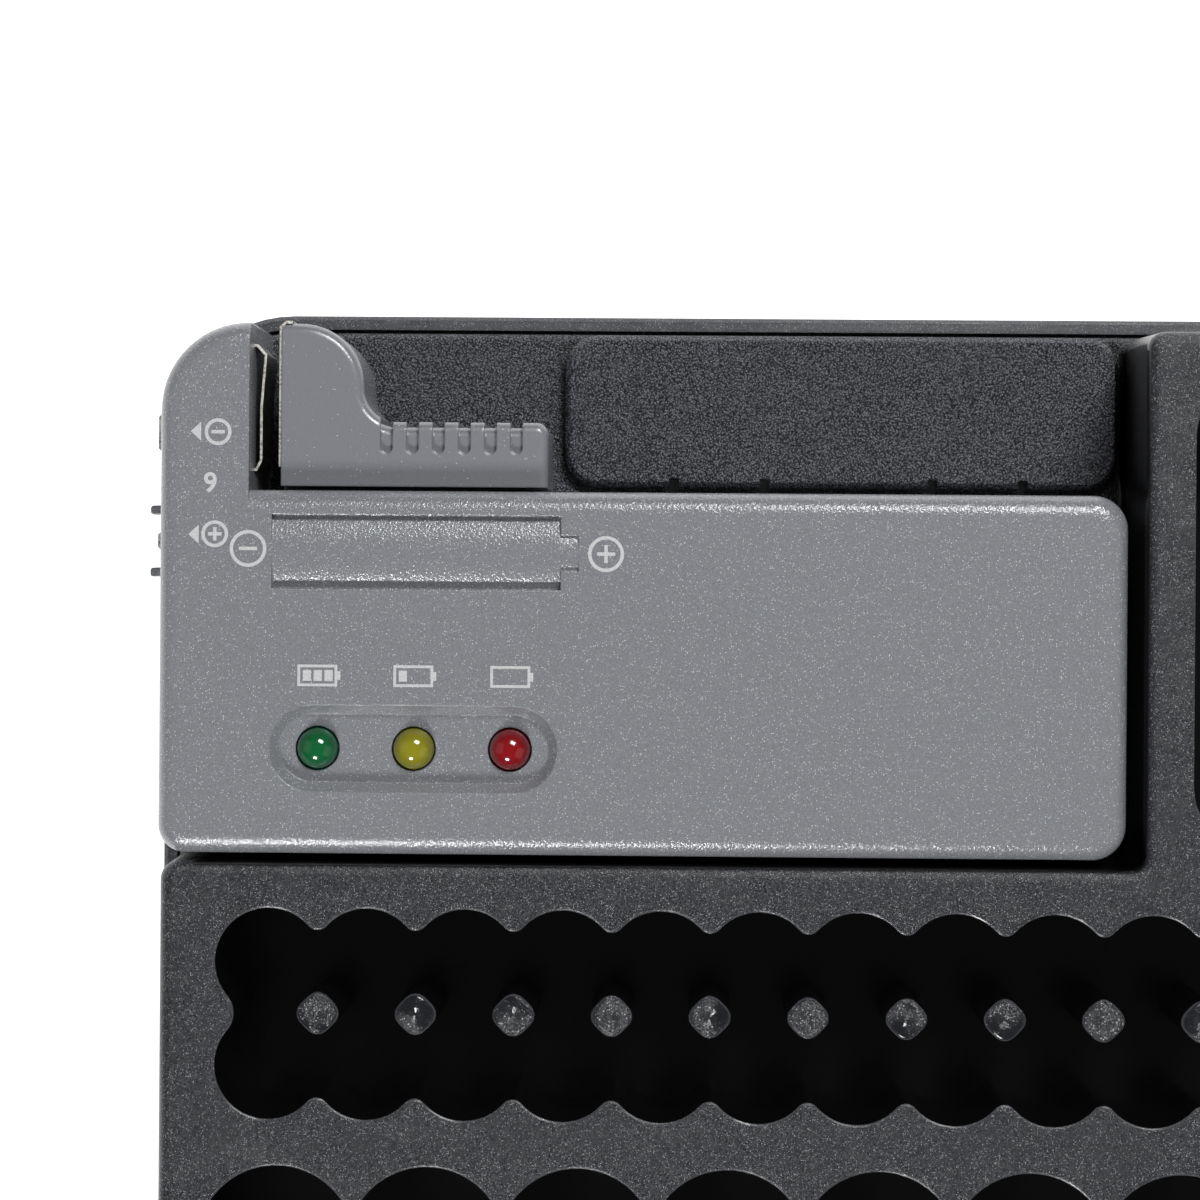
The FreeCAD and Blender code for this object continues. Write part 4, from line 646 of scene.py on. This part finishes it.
# ---------------------------------------------------------------------------
# Floor, lights and camera: a white sheet, a low softbox in front, a higher one
# behind, two wide fills, and a long lens straight above the tray's back half.
# ---------------------------------------------------------------------------
AXIS_X = DECK_LEFT + 60.5 * MM
AXIS_Y = DECK_BACK - 31.2 * MM
CAMERA_HEIGHT = 0.4734
CAMERA_LEAN = 0.0224        # radians, turns the view to the left
CAMERA_TWIST = 0.0077       # radians, about the line of sight
LENS_MM = 116.16
SENSOR_MM = 36.0
WORLD_GLOW = 0.075
SHEET_HALF = 1.5            # metres
SHEET_GAP = 0.2 * MM        # under the tray
COVER_INSET = 14.0 * MM     # the tray hides the sheet this far inside its edge
SHEET_GLOW = 0.75           # the sheet's own light, seen and mirrored but not cast


def paper():
    """White paper; its own faint light keeps it white round the tray and in what mirrors it."""
    mat, tree = new_material("white_paper")
    place = put(tree, "ShaderNodeTexCoord")["Object"]
    x, y, _ = put(tree, "ShaderNodeSeparateXYZ", {0: place})
    tooth = put(tree, "ShaderNodeTexNoise", {"Vector": place, "Scale": 1.0 / MM, "Detail": 2.0})[0]
    rough = put(tree, "ShaderNodeMix", {0: tooth, 2: 0.85, 3: 0.95}, data_type="FLOAT")[0]
    sheet = put(tree, "ShaderNodeBsdfPrincipled",
                {"Base Color": linear("f4f4f4"), "Roughness": rough})[0]
    covered = patch(tree, x, y, (cad_low[0] + COVER_INSET, cad_low[1] + COVER_INSET),
                    (cad_high[0] - COVER_INSET, cad_high[1] - COVER_INSET))
    strength = put(tree, "ShaderNodeMix", {0: covered, 2: SHEET_GLOW, 3: 0.0}, data_type="FLOAT")[0]
    glow = put(tree, "ShaderNodeEmission", {"Strength": strength})[0]
    both = put(tree, "ShaderNodeAddShader", {0: sheet, 1: glow})[0]
    path = put(tree, "ShaderNodeLightPath")
    seen = put(tree, "ShaderNodeMath", {0: path["Is Camera Ray"], 1: path["Is Glossy Ray"]},
               operation="MAXIMUM")[0]
    seen = put(tree, "ShaderNodeMath", {0: seen, 1: path["Is Transmission Ray"]},
               operation="MAXIMUM")[0]
    shader = put(tree, "ShaderNodeMixShader", {0: seen, 1: sheet, 2: both})[0]
    put(tree, "ShaderNodeOutputMaterial", {"Surface": shader})
    return mat


def floor_sheet():
    mesh = bpy.data.meshes.new("floor_sheet")
    half, z = SHEET_HALF, cad_low[2] - SHEET_GAP
    corners = [(-half, -half, z), (half, -half, z), (half, half, z), (-half, half, z)]
    mesh.from_pydata(corners, [], [(0, 1, 2, 3)])
    mesh.materials.append(paper())
    link_object("floor_sheet", mesh)


def softbox(name, place, size, power):
    """A rectangular lamp turned to the tray; place is in metres from the camera's axis."""
    light = bpy.data.lights.new(name, "AREA")
    light.shape = "RECTANGLE"
    light.size, light.size_y = size
    light.energy = power
    obj = link_object(name, light)
    obj.location = (AXIS_X + place[0], AXIS_Y + place[1], place[2])
    aim = Vector((AXIS_X, AXIS_Y, DECK_TOP)) - obj.location
    obj.rotation_euler = aim.to_track_quat("-Z", "Y").to_euler()


floor_sheet()
softbox("front_softbox", place=(-0.20, -0.75, 0.53), size=(0.22, 0.15), power=6.6)
softbox("back_softbox", place=(0.24, 0.53, 0.68), size=(0.36, 0.24), power=7.0)
softbox("right_fill", place=(0.80, -0.30, 0.50), size=(0.9, 0.8), power=0.7)
softbox("left_fill", place=(-0.80, 0.10, 0.50), size=(0.9, 0.8), power=0.5)
world = bpy.data.worlds.new("studio")
world.use_nodes = True
world.node_tree.nodes["Background"].inputs["Color"].default_value = (1, 1, 1, 1)
world.node_tree.nodes["Background"].inputs["Strength"].default_value = WORLD_GLOW
bpy.context.scene.world = world
bpy.context.scene.view_settings.view_transform = "Standard"

lens = bpy.data.cameras.new("camera")
lens.sensor_width = SENSOR_MM
lens.lens = LENS_MM
lens.clip_start, lens.clip_end = 0.01, 10.0
camera = link_object("camera", lens)
camera.location = (AXIS_X, AXIS_Y, CAMERA_HEIGHT)
camera.rotation_euler = (0.0, CAMERA_LEAN, CAMERA_TWIST)
bpy.context.scene.camera = camera
